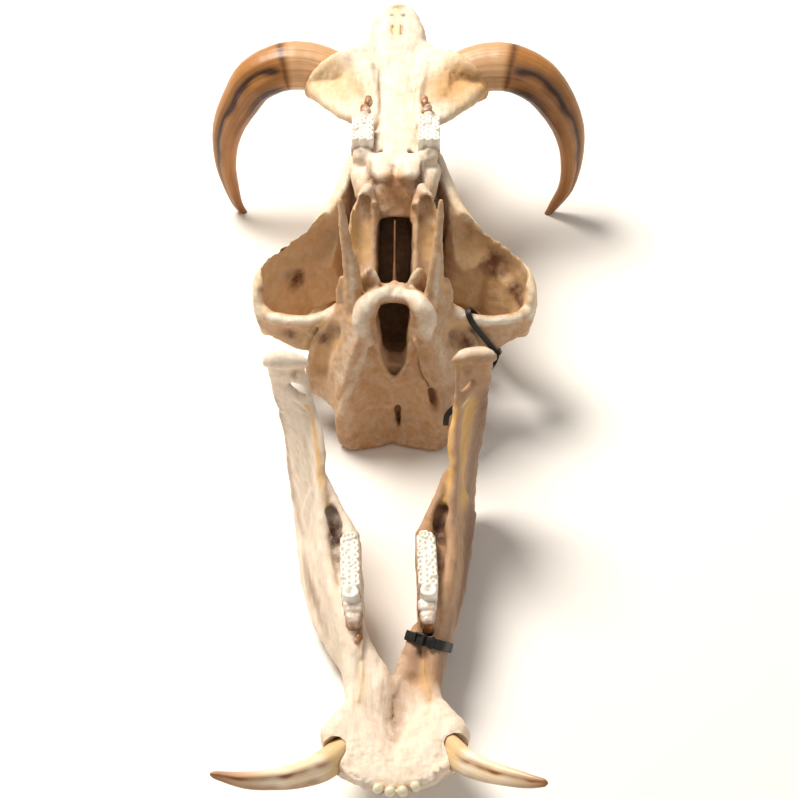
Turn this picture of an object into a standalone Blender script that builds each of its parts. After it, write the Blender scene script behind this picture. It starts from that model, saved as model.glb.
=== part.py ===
# Warthog skull: cranium laid roof down, lower jaw in front of it, four tusks and the ties it wears.
# Frame: metres, +Z up, +Y runs from the incisors of the lower jaw to the tip of the snout.
# The sizes below are in millimetres and MM turns them to metres.
import math
from functools import partial

import bmesh
import bpy
from mathutils import Matrix, Vector
from mathutils.bvhtree import BVHTree
from mathutils.geometry import convex_hull_2d

MM = 0.001
BOTH = (1, -1)

# Driving dimensions of the cranium
SNOUT_TIP = 386.0          # from the nuchal crest to the tip of the snout
CREST_HALF = 43.0          # half the width of the nuchal crest
FLANGE_HALF = 76.0         # half the width over the lips of the upper tusk sockets
PALATE_TOP = 166.0         # height of the palate between the last molars
CONDYLE_TOP = 130.0        # height of the occipital condyles
CRANIUM_SHIFT = -4.0       # the cranium's middle line at the crest
CRANIUM_YAW = -0.45        # degrees

# Driving dimensions of the lower jaw
JAW_CHIN = -350.0          # front of the lower jaw's bone
JAW_CONDYLE = (69.0, -51.0, 153.5)
JAW_ANGLE_HALF = 66.0      # half the width over the angles
JAW_YAW = 1.73             # degrees
JAW_SHIFT = -12.3          # the jaw's middle line at Y = 0
JAW_LEAN = -0.035          # sideways lean of the jaw with height
JAW_LEAN_LEVEL = 60.0
JAW_FLARE = {1: 0.0, -1: 6.0}      # how much further each angle turns out
JAW_BELLY = {1: 0.0, -1: 3.5}      # how much further the lower border in front of it swells
JAW_SPREAD = {1: 4.0, -1: 0.0}     # how much wider each front edge stands
JAW_FOOT = {1: 25.0, -1: 30.0}     # how far out each lower border is behind the chin

# Driving dimensions of the tusks
TUSK_THICK = 22.0          # radius of an upper tusk at its socket
TUSK_REACH = {1: 151.0, -1: 148.5}     # how far each upper tusk's middle line goes out
TUSK_TIP = {1: 19.0, -1: 14.5}         # how far each tip turns back in from there
GAP = 0.3                  # between pieces that touch
BAND_STEP = 2.5            # shortest straight stretch of a tie
LOCK_SINK = 0.8            # how far above the bone a tie's lock begins, in the strap's thickness

# Fineness of the solids
VOXEL = 2.2
CRANIUM_FACES = 8200
JAW_FACES = 4200


# Modelling helpers

def clear_scene():
    for thing in list(bpy.data.objects):
        bpy.data.objects.remove(thing)


def bone_material(name, colour, roughness):
    material = bpy.data.materials.new(name)
    material.use_nodes = True
    shader = material.node_tree.nodes["Principled BSDF"]
    shader.inputs["Base Color"].default_value = (*colour, 1.0)
    shader.inputs["Roughness"].default_value = roughness
    shader.inputs["Metallic"].default_value = 0.0
    return material


def make_object(name, bm):
    mesh = bpy.data.meshes.new(name)
    bm.to_mesh(mesh)
    bm.free()
    thing = bpy.data.objects.new(name, mesh)
    bpy.context.scene.collection.objects.link(thing)
    return thing


def drop(thing):
    mesh = thing.data
    bpy.data.objects.remove(thing)
    bpy.data.meshes.remove(mesh)


# A convex lump round the points already in a bmesh, put into the clay
def wrap_points(clay, lump):
    result = bmesh.ops.convex_hull(lump, input=lump.verts[:])
    inner = [part for part in result["geom_interior"] if isinstance(part, bmesh.types.BMVert)]
    bmesh.ops.delete(lump, geom=inner, context="VERTS")
    mesh = bpy.data.meshes.new("lump")
    lump.to_mesh(mesh)
    clay.from_mesh(mesh)
    bpy.data.meshes.remove(mesh)
    lump.free()


# A rounded convex lump round a few balls, each (x, y, z, radius)
def add_hull(clay, balls, sides=BOTH):
    for side in sides:
        lump = bmesh.new()
        for x, y, z, radius in balls:
            place = Matrix.Translation((side * x * MM, y * MM, z * MM))
            bmesh.ops.create_icosphere(lump, subdivisions=2, radius=radius * MM, matrix=place)
        bmesh.ops.delete(lump, geom=lump.edges[:], context="EDGES_FACES")
        wrap_points(clay, lump)


# Smooth curve through a row of tuples, with the same number of steps in each span
def refine(points, steps):
    points = [tuple(point) for point in points]
    if len(points) < 3:
        return points
    before = tuple(2 * b - c for b, c in zip(points[0], points[1]))
    after = tuple(2 * b - c for b, c in zip(points[-1], points[-2]))
    ends = [before] + points + [after]
    fine = []
    for place in range(len(points) - 1):
        a, b, c, d = ends[place:place + 4]
        for step in range(steps):
            t = step / steps
            fine.append(tuple(0.5 * (2 * q + (r - p) * t + (2 * p - 5 * q + 4 * r - s) * t * t
                                     + (3 * q - p - 3 * r + s) * t ** 3)
                              for p, q, r, s in zip(a, b, c, d)))
    return fine + [points[-1]]


# A bent, tapering rod through a row of balls
def add_chain(clay, balls, sides=BOTH, steps=3):
    balls = refine(balls, steps)
    for start, end in zip(balls, balls[1:]):
        add_hull(clay, [start, end], sides)


# A curved plate through rows of balls, thick where the balls are big
def add_plate(clay, rows, sides=BOTH, steps=3):
    rows = [refine(row, steps) for row in rows]
    columns = [refine(column, steps) for column in zip(*rows)]
    rows = list(zip(*columns))
    for row, next_row in zip(rows, rows[1:]):
        for place in range(len(row) - 1):
            add_hull(clay, [row[place], row[place + 1], next_row[place], next_row[place + 1]], sides)


# A body along Y through sections (y, low z, high z, half width low, half width high, squareness)
def add_body(clay, sections, steps=3, around=36):
    rings = []
    for y, low, high, half_low, half_high, square in refine(sections, steps):
        lump = bmesh.new()
        bmesh.ops.create_circle(lump, segments=around, radius=1.0)
        ring = []
        for vert in lump.verts:
            across = math.copysign(abs(vert.co.x) ** (2.0 / square), vert.co.x)
            share = 0.5 + 0.5 * math.copysign(abs(vert.co.y) ** (2.0 / square), vert.co.y)
            half = half_low + (half_high - half_low) * share
            ring.append((across * half * MM, y * MM, (low + (high - low) * share) * MM))
        lump.free()
        rings.append(ring)
    for ring, next_ring in zip(rings, rings[1:]):
        lump = bmesh.new()
        for point in ring + next_ring:
            lump.verts.new(point)
        wrap_points(clay, lump)


def apply_modifiers(thing):
    graph = bpy.context.evaluated_depsgraph_get()
    mesh = bpy.data.meshes.new_from_object(thing.evaluated_get(graph))
    old = thing.data
    thing.modifiers.clear()
    thing.data = mesh
    bpy.data.meshes.remove(old)


def remesh(thing, size=VOXEL):
    modifier = thing.modifiers.new("Remesh", "REMESH")
    modifier.mode = "VOXEL"
    modifier.voxel_size = size * MM
    apply_modifiers(thing)


def smooth(thing, repeats, factor=0.5):
    modifier = thing.modifiers.new("Smooth", "SMOOTH")
    modifier.factor = factor
    modifier.iterations = repeats
    apply_modifiers(thing)


def thin_out(thing, faces):
    now = sum(len(face.vertices) - 2 for face in thing.data.polygons)
    modifier = thing.modifiers.new("Decimate", "DECIMATE")
    modifier.ratio = min(1.0, faces / now)
    apply_modifiers(thing)


# MANIFOLD is for the dense meshes here, on which EXACT takes minutes
def cut(thing, cutter, solver="EXACT"):
    modifier = thing.modifiers.new("Cut", "BOOLEAN")
    modifier.operation = "DIFFERENCE"
    modifier.solver = solver
    modifier.object = cutter
    apply_modifiers(thing)
    drop(cutter)


def join(thing, other):
    modifier = thing.modifiers.new("Join", "BOOLEAN")
    modifier.operation = "UNION"
    modifier.solver = "EXACT"
    modifier.object = other
    apply_modifiers(thing)
    drop(other)


# Keeps the biggest closed surface, so no scrap and no sealed hollow is left
def keep_largest(thing):
    bm = bmesh.new()
    bm.from_mesh(thing.data)
    bm.verts.ensure_lookup_table()
    seen = set()
    islands = []
    for vert in bm.verts:
        if vert.index in seen:
            continue
        island = []
        queue = [vert]
        seen.add(vert.index)
        while queue:
            here = queue.pop()
            island.append(here)
            for edge in here.link_edges:
                other = edge.other_vert(here)
                if other.index not in seen:
                    seen.add(other.index)
                    queue.append(other)
        islands.append(island)
    islands.sort(key=len)
    for island in islands[:-1]:
        bmesh.ops.delete(bm, geom=island, context="VERTS")
    bm.to_mesh(thing.data)
    bm.free()


def place_cranium(thing):
    turn = Matrix.Rotation(math.radians(CRANIUM_YAW), 4, "Z")
    thing.data.transform(Matrix.Translation((CRANIUM_SHIFT * MM, 0.0, 0.0)) @ turn)


# The lower jaw is a little askew, as real ones are: it leans sideways with height
def place_jaw(thing):
    lean = Matrix.Identity(4)
    lean[0][2] = JAW_LEAN
    shift = (JAW_SHIFT - JAW_LEAN * JAW_LEAN_LEVEL) * MM
    turn = Matrix.Rotation(math.radians(JAW_YAW), 4, "Z")
    thing.data.transform(Matrix.Translation((shift, 0.0, 0.0)) @ turn @ lean)


# Cuts off what is under the floor, which leaves small flats at Z = 0
def level_foot(thing):
    bm = bmesh.new()
    size = 0.5
    place = Matrix.Translation((0.0, 0.0, -size))
    bmesh.ops.create_cube(bm, size=2.0 * size, matrix=place)
    cut(thing, make_object("floor_cutter", bm))


def shade(thing, material):
    thing.data.materials.clear()
    thing.data.materials.append(material)
    thing.data.shade_smooth()
    thing.data.set_sharp_from_angle(angle=math.radians(40.0))


# Cranium

def cranium_body(clay):
    snout, top = SNOUT_TIP, PALATE_TOP
    add_body(clay, [
        (snout, 126, 144, 6, 9, 2.2), (snout - 6, 114, 147, 11, 16, 2.4),
        (snout - 16, 102, 150, 15, 22, 2.8), (snout - 38, 89, 151, 19, 27, 3.2),
        (snout - 70, 80, 151, 22, 29, 3.2), (snout - 112, 68, 150, 26, 24, 3.0),
        (snout - 148, 58, 152, 31, 22, 3.0), (snout - 176, 48, 160, 36, 24, 3.0),
        (snout - 206, 38, top, 41, 28, 3.0), (snout - 236, 28, top, 45, 26, 3.0),
        (snout - 254, 21, 160, 48, 24, 3.0), (snout - 270, 16, 140, 48, 24, 3.0)])
    add_body(clay, [(124, 16, 132, 44, 26, 3.0), (96, 10, 118, 38, 26, 3.0), (64, 6, 119, 37, 22, 3.0),
                   (46, 5, 124, 38, 20, 3.0), (30, 5, 94, 36, 24, 3.0)])


def occiput(clay):
    crest = CREST_HALF
    add_plate(clay, [
        [(0, 6, 5, 5), (0, 19, 28, 5), (0, 25, 60, 5), (0, 30, 84, 5)],
        [(16, 1, 4, 5), (18, 15, 26, 5), (16, 22, 62, 5), (14, 29, 88, 5)],
        [(32, -2, 4, 5), (34, 7, 26, 5), (29, 16, 66, 4.5), (21, 27, 100, 5)],
        [(crest - 3, 1, 6, 4.5), (crest - 1, 4, 30, 4.5), (36, 12, 68, 4), (25, 20, 106, 4.5)]])
    add_plate(clay, [      # wing: a dish with a raised rim
        [(crest - 1, 8, 34, 4), (42, 10, 50, 4), (36, 14, 70, 4), (26, 24, 108, 5)],
        [(54, 24, 34, 4), (55, 34, 54, 4), (54, 40, 80, 4), (38, 44, 112, 5)],
        [(66, 32, 33, 4), (65, 38, 55, 4.5), (58, 38, 78, 4), (43, 44, 101, 4.5)]])
    add_chain(clay, [(40, 46, 112, 4.4), (45, 44, 101, 4), (54, 43, 89, 3.6), (61, 42, 77, 3.4),
                    (65.5, 38, 62, 3.2), (66.5, 33, 46, 3)])
    add_hull(clay, [(62, 44, 38, 5), (61, 52, 58, 6), (54, 54, 80, 6), (44, 55, 98, 6), (40, 62, 90, 8),
                   (40, 62, 50, 8), (50, 50, 40, 6)])


def condyles(clay):
    top = CONDYLE_TOP
    add_chain(clay, [(0, 42, top - 4.5, 5), (12, 40, top - 2.5, 6), (20, 31, top - 4, 8.8),
                    (24.5, 25.5, top - 12, 8.4), (22.5, 23, top - 23, 6.5), (16.5, 22.5, top - 33, 4)])
    add_hull(clay, [(0, 46, top - 4, 5), (12, 48, top - 8, 6), (18, 46, top - 14, 9)])
    add_hull(clay, [(17.5, 30, top - 12, 6), (17, 28, top - 28, 6), (14, 27, top - 40, 5),
                    (16, 44, top - 26, 8), (17, 44, top - 10, 6)])
    add_hull(clay, [(5, 43, top + 0.5, 3.6), (5.5, 50, top - 3, 4)])         # knobs on the arch
    add_hull(clay, [(0, 48, top + 0.5, 3), (0, 54, top - 4, 4)], (1,))
    add_chain(clay, [(13, 23, top - 38, 4), (10.5, 20, top - 52, 3.4), (5.5, 17, top - 63, 3),
                    (1, 15, top - 68, 2.8)])


def paroccipitals(clay):
    add_hull(clay, [(33, 36, 98, 9), (31, 40, 116, 6), (26, 38, 110, 6), (40, 46, 106, 6)])
    for side, lean in ((1, -2.5), (-1, 3.0)):
        add_chain(clay, [(31, 41, 114, 8.5), (32, 48, 134, 6.2), (34 + 0.5 * lean, 56, 156, 4.8),
                        (36 + 0.8 * lean, 65, 180, 3.6), (37.5 + lean, 71, 197, 2.6)], (side,))
    add_chain(clay, [(25, 38, 112, 4.5), (27.5, 45, 134, 3.4), (31, 54, 156, 3)])


def ear_region(clay):
    add_hull(clay, [(17, 62, 118, 8), (19, 60, 136, 3), (14, 58, 124, 4), (24, 66, 116, 6)])
    add_hull(clay, [(40, 48, 104, 6), (42, 49, 126, 3.2), (40, 50, 136, 2.4)])
    add_hull(clay, [(36, 52, 106, 6), (37, 53, 126, 2.4), (40, 50, 136, 2.4)])


def pterygoids(clay):
    add_hull(clay, [(21, 122, 164, 5), (31, 106, 150, 3.5), (32, 90, 134, 3.5), (27, 78, 120, 5),
                   (15, 112, 152, 3.5), (14.5, 92, 136, 3), (16, 72, 120, 4), (26, 122, 124, 9)])
    add_chain(clay, [(21, 121, 164, 5), (28, 108, 162, 3.4), (33, 97, 146, 3), (33, 84, 130, 3)])
    add_chain(clay, [(14.5, 114, 152, 3), (16, 108, 161, 2.4), (18, 105, 164, 2)])


def palate(clay):
    top = PALATE_TOP
    add_hull(clay, [(7, 138, top - 4, 6), (16, 142, top - 5, 6), (8, 160, top - 5, 6), (18, 160, top - 5, 6)])
    add_hull(clay, [(24, 150, 150, 8), (25, 138, 144, 7), (22, 128, 152, 6), (30, 160, 150, 7)])
    add_hull(clay, [(26, 164, 160, 8.5), (26, 200, 158, 7.5), (26, 216, 154, 6.5)])
    add_chain(clay, [(20, 204, 160, 5), (18, 222, 154, 4.5), (18, 250, 150, 4), (24, 290, 150, 5)])


# A molar is a block of enamel columns worn flat, three across
def molar(clay, rear, front, inner, outer, crown, base, rows):
    length = front - rear
    for row in range(rows):
        y = rear + length * (row + 0.5) / rows
        for column in range(3):
            x = inner + (outer - inner) * (column + 0.5) / 3.0
            wave = 0.7 * math.sin(2.3 * row + 1.7 * column)
            radius = 0.56 * abs(length) / rows
            add_hull(clay, [(x, y, crown - radius + wave, radius), (x, y, base, radius)])


def upper_teeth(clay):
    molar(clay, 167.0, 197.0, 17.5, 35.0, 175.0, 152.0, 5)
    # Worn teeth in front
    add_hull(clay, [(23, 206, 162, 4), (29, 206, 162, 4), (26, 213, 161, 4.5), (26, 208, 152, 6)])
    add_hull(clay, [(24, 222, 158, 4), (26, 228, 157, 3.6), (24, 224, 150, 5)])
    add_hull(clay, [(23, 237, 155, 3.4), (23, 243, 154.5, 3), (23, 239, 148, 4)])


# The socket's mouth is slanted: its lip reaches out below and behind the tusk
def canine_flange(clay):
    ring = []
    for step in range(18):
        turn = math.tau * step / 18
        behind = 0.5 - 0.5 * math.cos(turn - math.radians(20.0))
        reach = TUSK_THICK - 1.5
        ring.append((FLANGE_HALF - 34 + 32 * behind, 300 - 13 * (1.0 - behind) + reach * math.cos(turn),
                     138 + reach * math.sin(turn), 3.5))
    add_hull(clay, ring + [(28, 290, 126, 22)])
    add_hull(clay, [(20, 220, 148, 6), (37, 226, 148, 5), (55, 250, 143, 6), (68, 272, 139, 7),
                   (24, 290, 124, 18), (44, 290, 132, 14)])
    add_hull(clay, [(16, 328, 134, 14), (38, 307, 140, 9), (24, 294, 128, 20)])
    add_hull(clay, [(42, 306, 150, 6), (20, 316, 144, 6), (40, 262, 147, 5), (16, 270, 145, 5),
                    (30, 240, 146, 5)])


def cheek(clay):
    add_plate(clay, [
        [(37, 166, 138, 5), (44, 166, 110, 8), (46, 158, 70, 10)],
        [(48, 141, 131, 4.5), (55, 145, 100, 7), (58, 138, 60, 9)],
        [(64, 120, 121, 4.5), (69, 124, 94, 6.5), (73, 110, 50, 8)],
        [(81, 105, 120, 4.5), (85, 106, 92, 6), (85, 91, 46, 7)],
        [(96, 93, 113, 4.5), (99, 91, 88, 5.5), (95, 79, 52, 6)],
        [(105, 82, 107, 4.5), (106, 79, 88, 5), (101, 69, 62, 5.5)],
        [(107, 70, 99, 4.5), (106, 68, 84, 5), (101, 63, 70, 5)],
        [(105, 62, 87, 4.5), (104, 61, 80, 5), (99, 59, 72, 4.5)]])
    add_hull(clay, [(37, 166, 138, 6), (48, 141, 131, 5), (42, 172, 100, 12), (46, 150, 60, 12),
                   (40, 140, 50, 12), (34, 192, 108, 12), (32, 186, 140, 6)])
    add_hull(clay, [(48, 141, 131, 5), (64, 120, 121, 5), (46, 150, 60, 12), (60, 136, 60, 8),
                   (74, 112, 52, 8), (44, 118, 60, 10)])
    add_hull(clay, [(48, 134, 40, 8), (60, 126, 34, 7), (61, 119, 42, 6), (46, 130, 62, 8),
                   (60, 130, 58, 8), (68, 124, 31, 6), (67, 116, 43, 5.5), (66, 128, 42, 6)])
    # the jaw joint: a bar that dips in its middle, and the plate under it
    add_chain(clay, [(44, 50, 103, 6), (56, 48, 97, 5), (70, 48, 92.5, 5), (85, 51, 90.5, 5),
                     (97, 56, 88.5, 5), (104, 63, 90, 5)])
    add_plate(clay, [
        [(46, 52, 96, 5), (70, 51, 88, 5), (99, 58, 86, 5)],
        [(50, 54, 80, 4), (76, 54, 76, 4), (100, 59, 79, 4.5)],
        [(58, 54, 58, 4), (76, 54, 60, 4.5), (94, 57, 70, 4.5)]])


def eye_brow(clay):
    add_chain(clay, [(50, 136, 30, 7), (61, 122, 20, 6.5), (65, 103, 15, 6), (60, 86, 15, 6),
                    (50, 72, 14, 6)])
    add_hull(clay, [(44, 132, 28, 8), (60, 120, 19, 6), (63, 98, 14, 5), (50, 74, 13, 6), (34, 70, 14, 8),
                   (30, 120, 26, 8)])
    add_chain(clay, [(58, 85, 15, 5), (66, 81, 28, 4), (71, 80, 40, 3)])


def cranium_cutters(clay):
    # temporal fossa, behind the cheek and open to the roof behind the eye
    add_hull(clay, [(53, 123, 112, 8), (67, 108, 106, 9), (86, 94, 100, 9), (97, 80, 94, 7),
                   (94, 73, 86, 6.5), (56, 68, 92, 8), (58, 74, 60, 9), (74, 79, 74, 8),
                   (56, 120, 150, 10), (96, 88, 140, 10), (60, 70, 135, 10)])
    add_hull(clay, [(58, 70, 52, 9), (57, 70, -12, 9)])
    add_hull(clay, [(76, 106, 26, 10), (96, 104, 22, 15)])          # orbit
    # inner nostrils, the trough that leads into them, and the hollows beside it
    add_hull(clay, [(8.2, 99, 144, 6.3), (8.2, 64, 126, 6.3), (8, 140, 116, 5), (8, 100, 90, 5)])
    add_hull(clay, [(5, 126, 167, 5), (7, 112, 157, 7), (7, 90, 148, 7), (6, 130, 176, 6)])
    add_hull(clay, [(24, 113, 161, 4.5), (25.5, 101, 152, 7.5), (26, 86, 140, 8), (25, 70, 126, 7.5),
                   (25, 94, 170, 9)])
    # foramen magnum, broad above and narrow below, and the brain's hollow
    add_hull(clay, [(6.5, -5, 122, 6), (-9, -5, 122, 6), (3.7, -5, 102, 5), (-5.3, -5, 102, 5),
                   (2.8, -5, 80, 4), (-1.2, -5, 80, 4), (1.2, -5, 71.5, 3.2), (6.5, 60, 109, 6),
                   (-8.5, 60, 109, 6), (0, 60, 80, 8)], (1,))
    add_hull(clay, [(0, 50, 84, 20), (0, 80, 70, 22)], (1,))
    add_hull(clay, [(0, 406, 116, 12), (0, 326, 112, 12), (0, 406, 128, 8)], (1,))       # nose
    # holes in the palate and in the occiput
    add_hull(clay, [(12, 173, 174, 2.6), (12, 167, 172, 2.6), (12, 163, 158, 2.4)])
    add_hull(clay, [(4.6, 346, 157, 1.6), (4.4, 334, 157, 1.7), (4.2, 342, 143, 1.4)])
    add_hull(clay, [(27, 2, 60, 1.6), (29.5, 2, 51, 3.6), (32, -2, 44, 3.9), (33, -4, 39, 2.4),
                   (29.5, 13.5, 53, 2.4), (31, 11.5, 44, 2.4)], (1,))
    add_hull(clay, [(2, 2, 30, 1.6), (3.2, 2, 23, 2.3), (4.8, 0, 14, 1.6), (2, 19.5, 30, 1.4),
                   (4, 14, 16, 1.4)], (1,))


# Upper tusk

def upper_tusk_path(side):
    reach, thick, tip = TUSK_REACH[side], TUSK_THICK, TUSK_TIP[side]
    points = [(34, 291, 128, 0.95), (56, 298, 136, 0.98), (76, 303, 140, 1.0), (97, 301.5, 140, 0.99),
              (119, 297.5, 130, 0.94), (reach - 17, 294, 112, 0.84), (reach - 6, 289, 91, 0.71),
              (reach - 1, 285, 70, 0.57), (reach - 0.5, 281, 48, 0.44), (reach - 4, 278, 27, 0.33),
              (reach - tip + 6, 276, 9, 0.22), (reach - tip, 275, -2, 0.12)]
    return refine([(side * x, y, z, thick * share) for x, y, z, share in points], 2)


# A tapering tusk along (x, y, z, radius): section(turn) shapes it, grow adds the gap for its socket
def sweep(path, section, sides, grow, hint):
    spots = [Vector(point[:3]) * MM for point in path]
    bm = bmesh.new()
    rings = []
    last = len(path) - 1
    for place, centre in enumerate(spots):
        ahead = spots[min(place + 1, last)] - spots[max(place - 1, 0)]
        ahead.normalize()
        across = ahead.cross(hint).normalized()
        upward = across.cross(ahead).normalized()
        middle = centre - ahead * grow * MM if place == 0 else centre
        ring = []
        for step in range(sides):
            turn = math.tau * step / sides
            radius = (path[place][3] * section(turn) + grow) * MM
            ring.append(bm.verts.new(middle + across * radius * math.cos(turn)
                                     + upward * radius * math.sin(turn)))
        rings.append(ring)
    for ring, next_ring in zip(rings, rings[1:]):
        for step in range(sides):
            after = (step + 1) % sides
            bm.faces.new([ring[step], ring[after], next_ring[after], next_ring[step]])
    bm.faces.new(rings[0][::-1])
    bm.faces.new(rings[-1])
    bmesh.ops.recalc_face_normals(bm, faces=bm.faces[:])
    return bm


# Two lobes with a groove between them, on the face that looks up and towards the jaw
def upper_tusk_section(turn, side):
    face = turn if side > 0 else math.pi - turn
    groove = 0.12 * max(0.0, math.cos(face - math.radians(308.0))) ** 8
    return (1.0 - groove) * (1.0 - 0.10 * abs(math.cos(turn)))


def upper_tusk(side, grow=0.0):
    section = partial(upper_tusk_section, side=side)
    bm = sweep(upper_tusk_path(side), section, 16, grow, Vector((0.0, 1.0, 0.0)))
    return make_object("tusk", bm)


# The left lower tusk is long and sharp, the right one shorter and worn blunt
def lower_tusk_path(side):
    outer = {1: [(46, -333, 57, 8.8), (58, -343, 61.5, 7.7), (72, -352, 67, 6.3), (87, -360, 72.5, 4.7),
                 (99, -365, 77, 2.2)],
             -1: [(49, -333, 56, 9.6), (64, -343, 61.5, 8.4), (80, -350, 67.5, 6.8), (99, -355, 75, 5.3),
                  (121, -354.5, 82, 2.0)]}
    points = [(28, -303, 38, 9.0), (37, -318, 49, 9.4)] + outer[side]
    return refine([(side * x, y, z, radius) for x, y, z, radius in points], 2)


# Three-sided
def lower_tusk_section(turn):
    return 1.0 + 0.13 * math.cos(3.0 * turn + 0.6)


def lower_tusk(side, grow=0.0):
    bm = sweep(lower_tusk_path(side), lower_tusk_section, 12, grow, Vector((0.0, 0.0, 1.0)))
    return make_object("tusk", bm)


# The mouth of a lower tusk's socket is wider than the tusk above and outside it
def socket_mouth(side):
    clay = bmesh.new()
    add_hull(clay, [(33, -312, 46, 8.5), (42, -321, 55, 10), (56, -334, 62, 12)], (side,))
    return make_object("socket_mouth", clay)


# Lower jaw

def jaw_ramus(clay):
    x, y, z = JAW_CONDYLE
    half = JAW_ANGLE_HALF
    add_chain(clay, [(x - 14, y - 1, z - 2, 3.6), (x - 8, y, z - 0.5, 6), (x, y + 1, z, 7),
                    (x + 8, y + 1, z, 6.4), (x + 13, y + 1, z - 2, 4)])
    add_hull(clay, [(x - 8, y, z - 5, 3.5), (x + 9, y + 2, z - 6, 4.5), (x + 1, y + 2, z - 26, 3.2),
                   (x + 8, y + 5, z - 28, 4.5)])
    add_hull(clay, [(x - 11, y - 2, z - 8, 3), (x - 2, y, z - 8, 3), (x - 10, y - 4, z - 15, 2.4),
                   (x + 2, y, z - 20, 3)])
    for side in BOTH:
        out = half + JAW_FLARE[side]
        low = out + JAW_BELLY[side]
        front = JAW_SPREAD[side]
        foot = JAW_FOOT[side]
        add_plate(clay, [
            [(x + 2, y, z - 24, 3), (x + 5, y + 2, z - 25, 4), (x + 8, y + 4, z - 26, 5)],
            [(54 + front, -62, 116, 3), (63, -56, 116, 3.5), (half + 8, -46, 105, 5)],
            [(47 + front, -86, 106, 4), (58, -70, 86, 3.5), (half + 5, -48, 72, 5)],
            [(46.5 + front, -108, 91, 4), (55, -90, 58, 3.5), (out - 3, -62, 34, 5.5)],
            [(46, -134, 75, 4.5), (52, -118, 42, 4), (out - 7, -90, 5, 6.5)],
            [(46, -158, 66, 5), (50, -146, 36, 5), (low - 13, -126, 7, 6.5)],
            [(42, -182, 61, 5), (45, -176, 32, 6), (low - 19, -158, 9, 7)],
            [(36, -206, 56, 6), (38, -202, 30, 7), (low - 28, -192, 14, 7)],
            [(30, -232, 49, 6), (29.5, -232, 30, 6.5), (foot, -228, 13, 7.5)],
            [(27, -258, 43, 6), (26, -260, 26, 8), (25, -260, 9, 9)]], (side,))
        # thin bridge from the front edge up to the joint, with the notch behind it
        add_chain(clay, [(47 + front, -84, 107, 4), (50 + front, -70, 117, 2.8),
                        (53 + front * 0.6, -61, 130, 2.3), (x - 12, y - 4, z - 9, 2.4),
                        (x - 12, y - 1, z - 3, 3)], (side,))
        add_hull(clay, [(52 + front, -66, 119, 3), (59, -59, 122, 2.8), (67, -53, 124, 3),
                        (54 + front * 0.6, -62, 125, 2.4)], (side,))
        add_hull(clay, [(x - 12, y - 4, z - 10, 2.4), (x - 2, y, z - 19, 2.6),
                        (x - 12, y - 6, z - 16, 2.2)], (side,))


def jaw_body(clay):
    add_plate(clay, [
        [(46, -106, 89, 4), (57, -96, 50, 4), (62, -92, 24, 5)],
        [(40, -118, 81, 4), (48, -116, 48, 4), (56, -116, 18, 6)],
        [(33, -132, 75, 4.5), (38, -132, 46, 5), (48, -140, 16, 7)],
        [(27, -147, 68, 7), (30, -148, 42, 8), (42, -158, 15, 8)]])
    add_hull(clay, [(27, -150, 62, 8), (27, -212, 58, 8), (25, -238, 48, 6), (30, -152, 35, 9),
                    (27, -240, 20, 8), (42, -160, 16, 8), (26, -240, 14, 8)])
    add_hull(clay, [(35, -153, 59, 6), (42, -160, 58, 5), (37, -180, 56, 5), (41, -186, 51, 6),
                    (34, -206, 53, 5)])
    add_hull(clay, [(41, -116, 79, 4), (44, -126, 71, 4.5), (37, -134, 65, 5), (43, -138, 63, 5),
                    (42, -120, 60, 5), (38, -148, 62, 6), (43, -150, 60, 6)])


def lower_teeth(clay):
    molar(clay, -151.0, -209.0, 20.5, 34.5, 77.0, 60.0, 9)
    # The two-lobed tooth in front of it, and the root of one more on the left
    add_hull(clay, [(22.5, -209, 68, 3.2), (30, -209, 69, 3.2), (22.5, -213, 67.5, 3.2),
                    (29.5, -213.5, 68, 3.2), (26, -211, 56, 7)])
    add_hull(clay, [(23, -218, 66, 3), (29, -218, 67, 3), (24, -222, 65.5, 2.8), (28, -222, 66, 2.8),
                    (26, -220, 56, 6)])
    add_hull(clay, [(23, -229, 57.5, 2.8), (24.5, -232, 57, 2.4), (23.5, -230, 50, 3)], (-1,))


def jaw_front(clay):
    chin = JAW_CHIN
    for side, edge in ((1, 12.0), (-1, 16.5)):
        add_plate(clay, [
            [(edge + 7, -216, 48, 5), (26, -220, 30, 7)], [(edge, -234, 46, 5), (22, -240, 24, 7)],
            [(5, -252, 43, 4.5), (12, -258, 20, 8)], [(0, -266, 40, 4), (0, -272, 18, 9)]], (side,))
        add_hull(clay, [(edge + 7, -218, 47, 5), (30, -224, 47, 6), (edge, -236, 45, 5),
                       (28, -258, 42, 6), (6, -254, 41, 5), (20, -262, 40, 5), (26, -240, 30, 8)], (side,))
    add_hull(clay, [(6, -256, 40, 5), (27, -256, 42, 6), (28, -280, 44, 6), (0, -268, 34, 6), (0, -270, 11, 9),
                   (20, -264, 9, 9), (0, -300, 24, 9), (24, -300, 32, 12)])
    add_hull(clay, [(28, -276, 43, 6), (40, -306, 49, 11.5), (37, -326, 47, 9), (19, chin + 6, 53, 6.5),
                   (0, chin + 3, 53, 6.5), (0, -292, 26, 8), (24, -300, 28, 8)])
    # lumpy rim beside the front teeth, with the stump of a fifth
    add_chain(clay, [(23, chin + 5, 56, 3.6), (30, chin + 10, 56, 3.6), (37, chin + 20, 54, 4.5)])
    add_chain(clay, [(28, chin + 12, 55, 5), (28, chin + 6, 60.5, 3.2)], (1,))


# Four round pegs in the chin, their roots sunk in it
def incisors(clay):
    for x, y, z in ((-12.4, -355.0, 61.0), (-4.4, -358.5, 62.5), (3.8, -358.5, 62.5), (12.4, -354.5, 61.5)):
        add_chain(clay, [(x * 0.9, y + 8, z - 13, 3.9), (x, y + 3, z - 6, 3.9), (x, y, z - 0.5, 3.3)], (1,))


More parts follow.
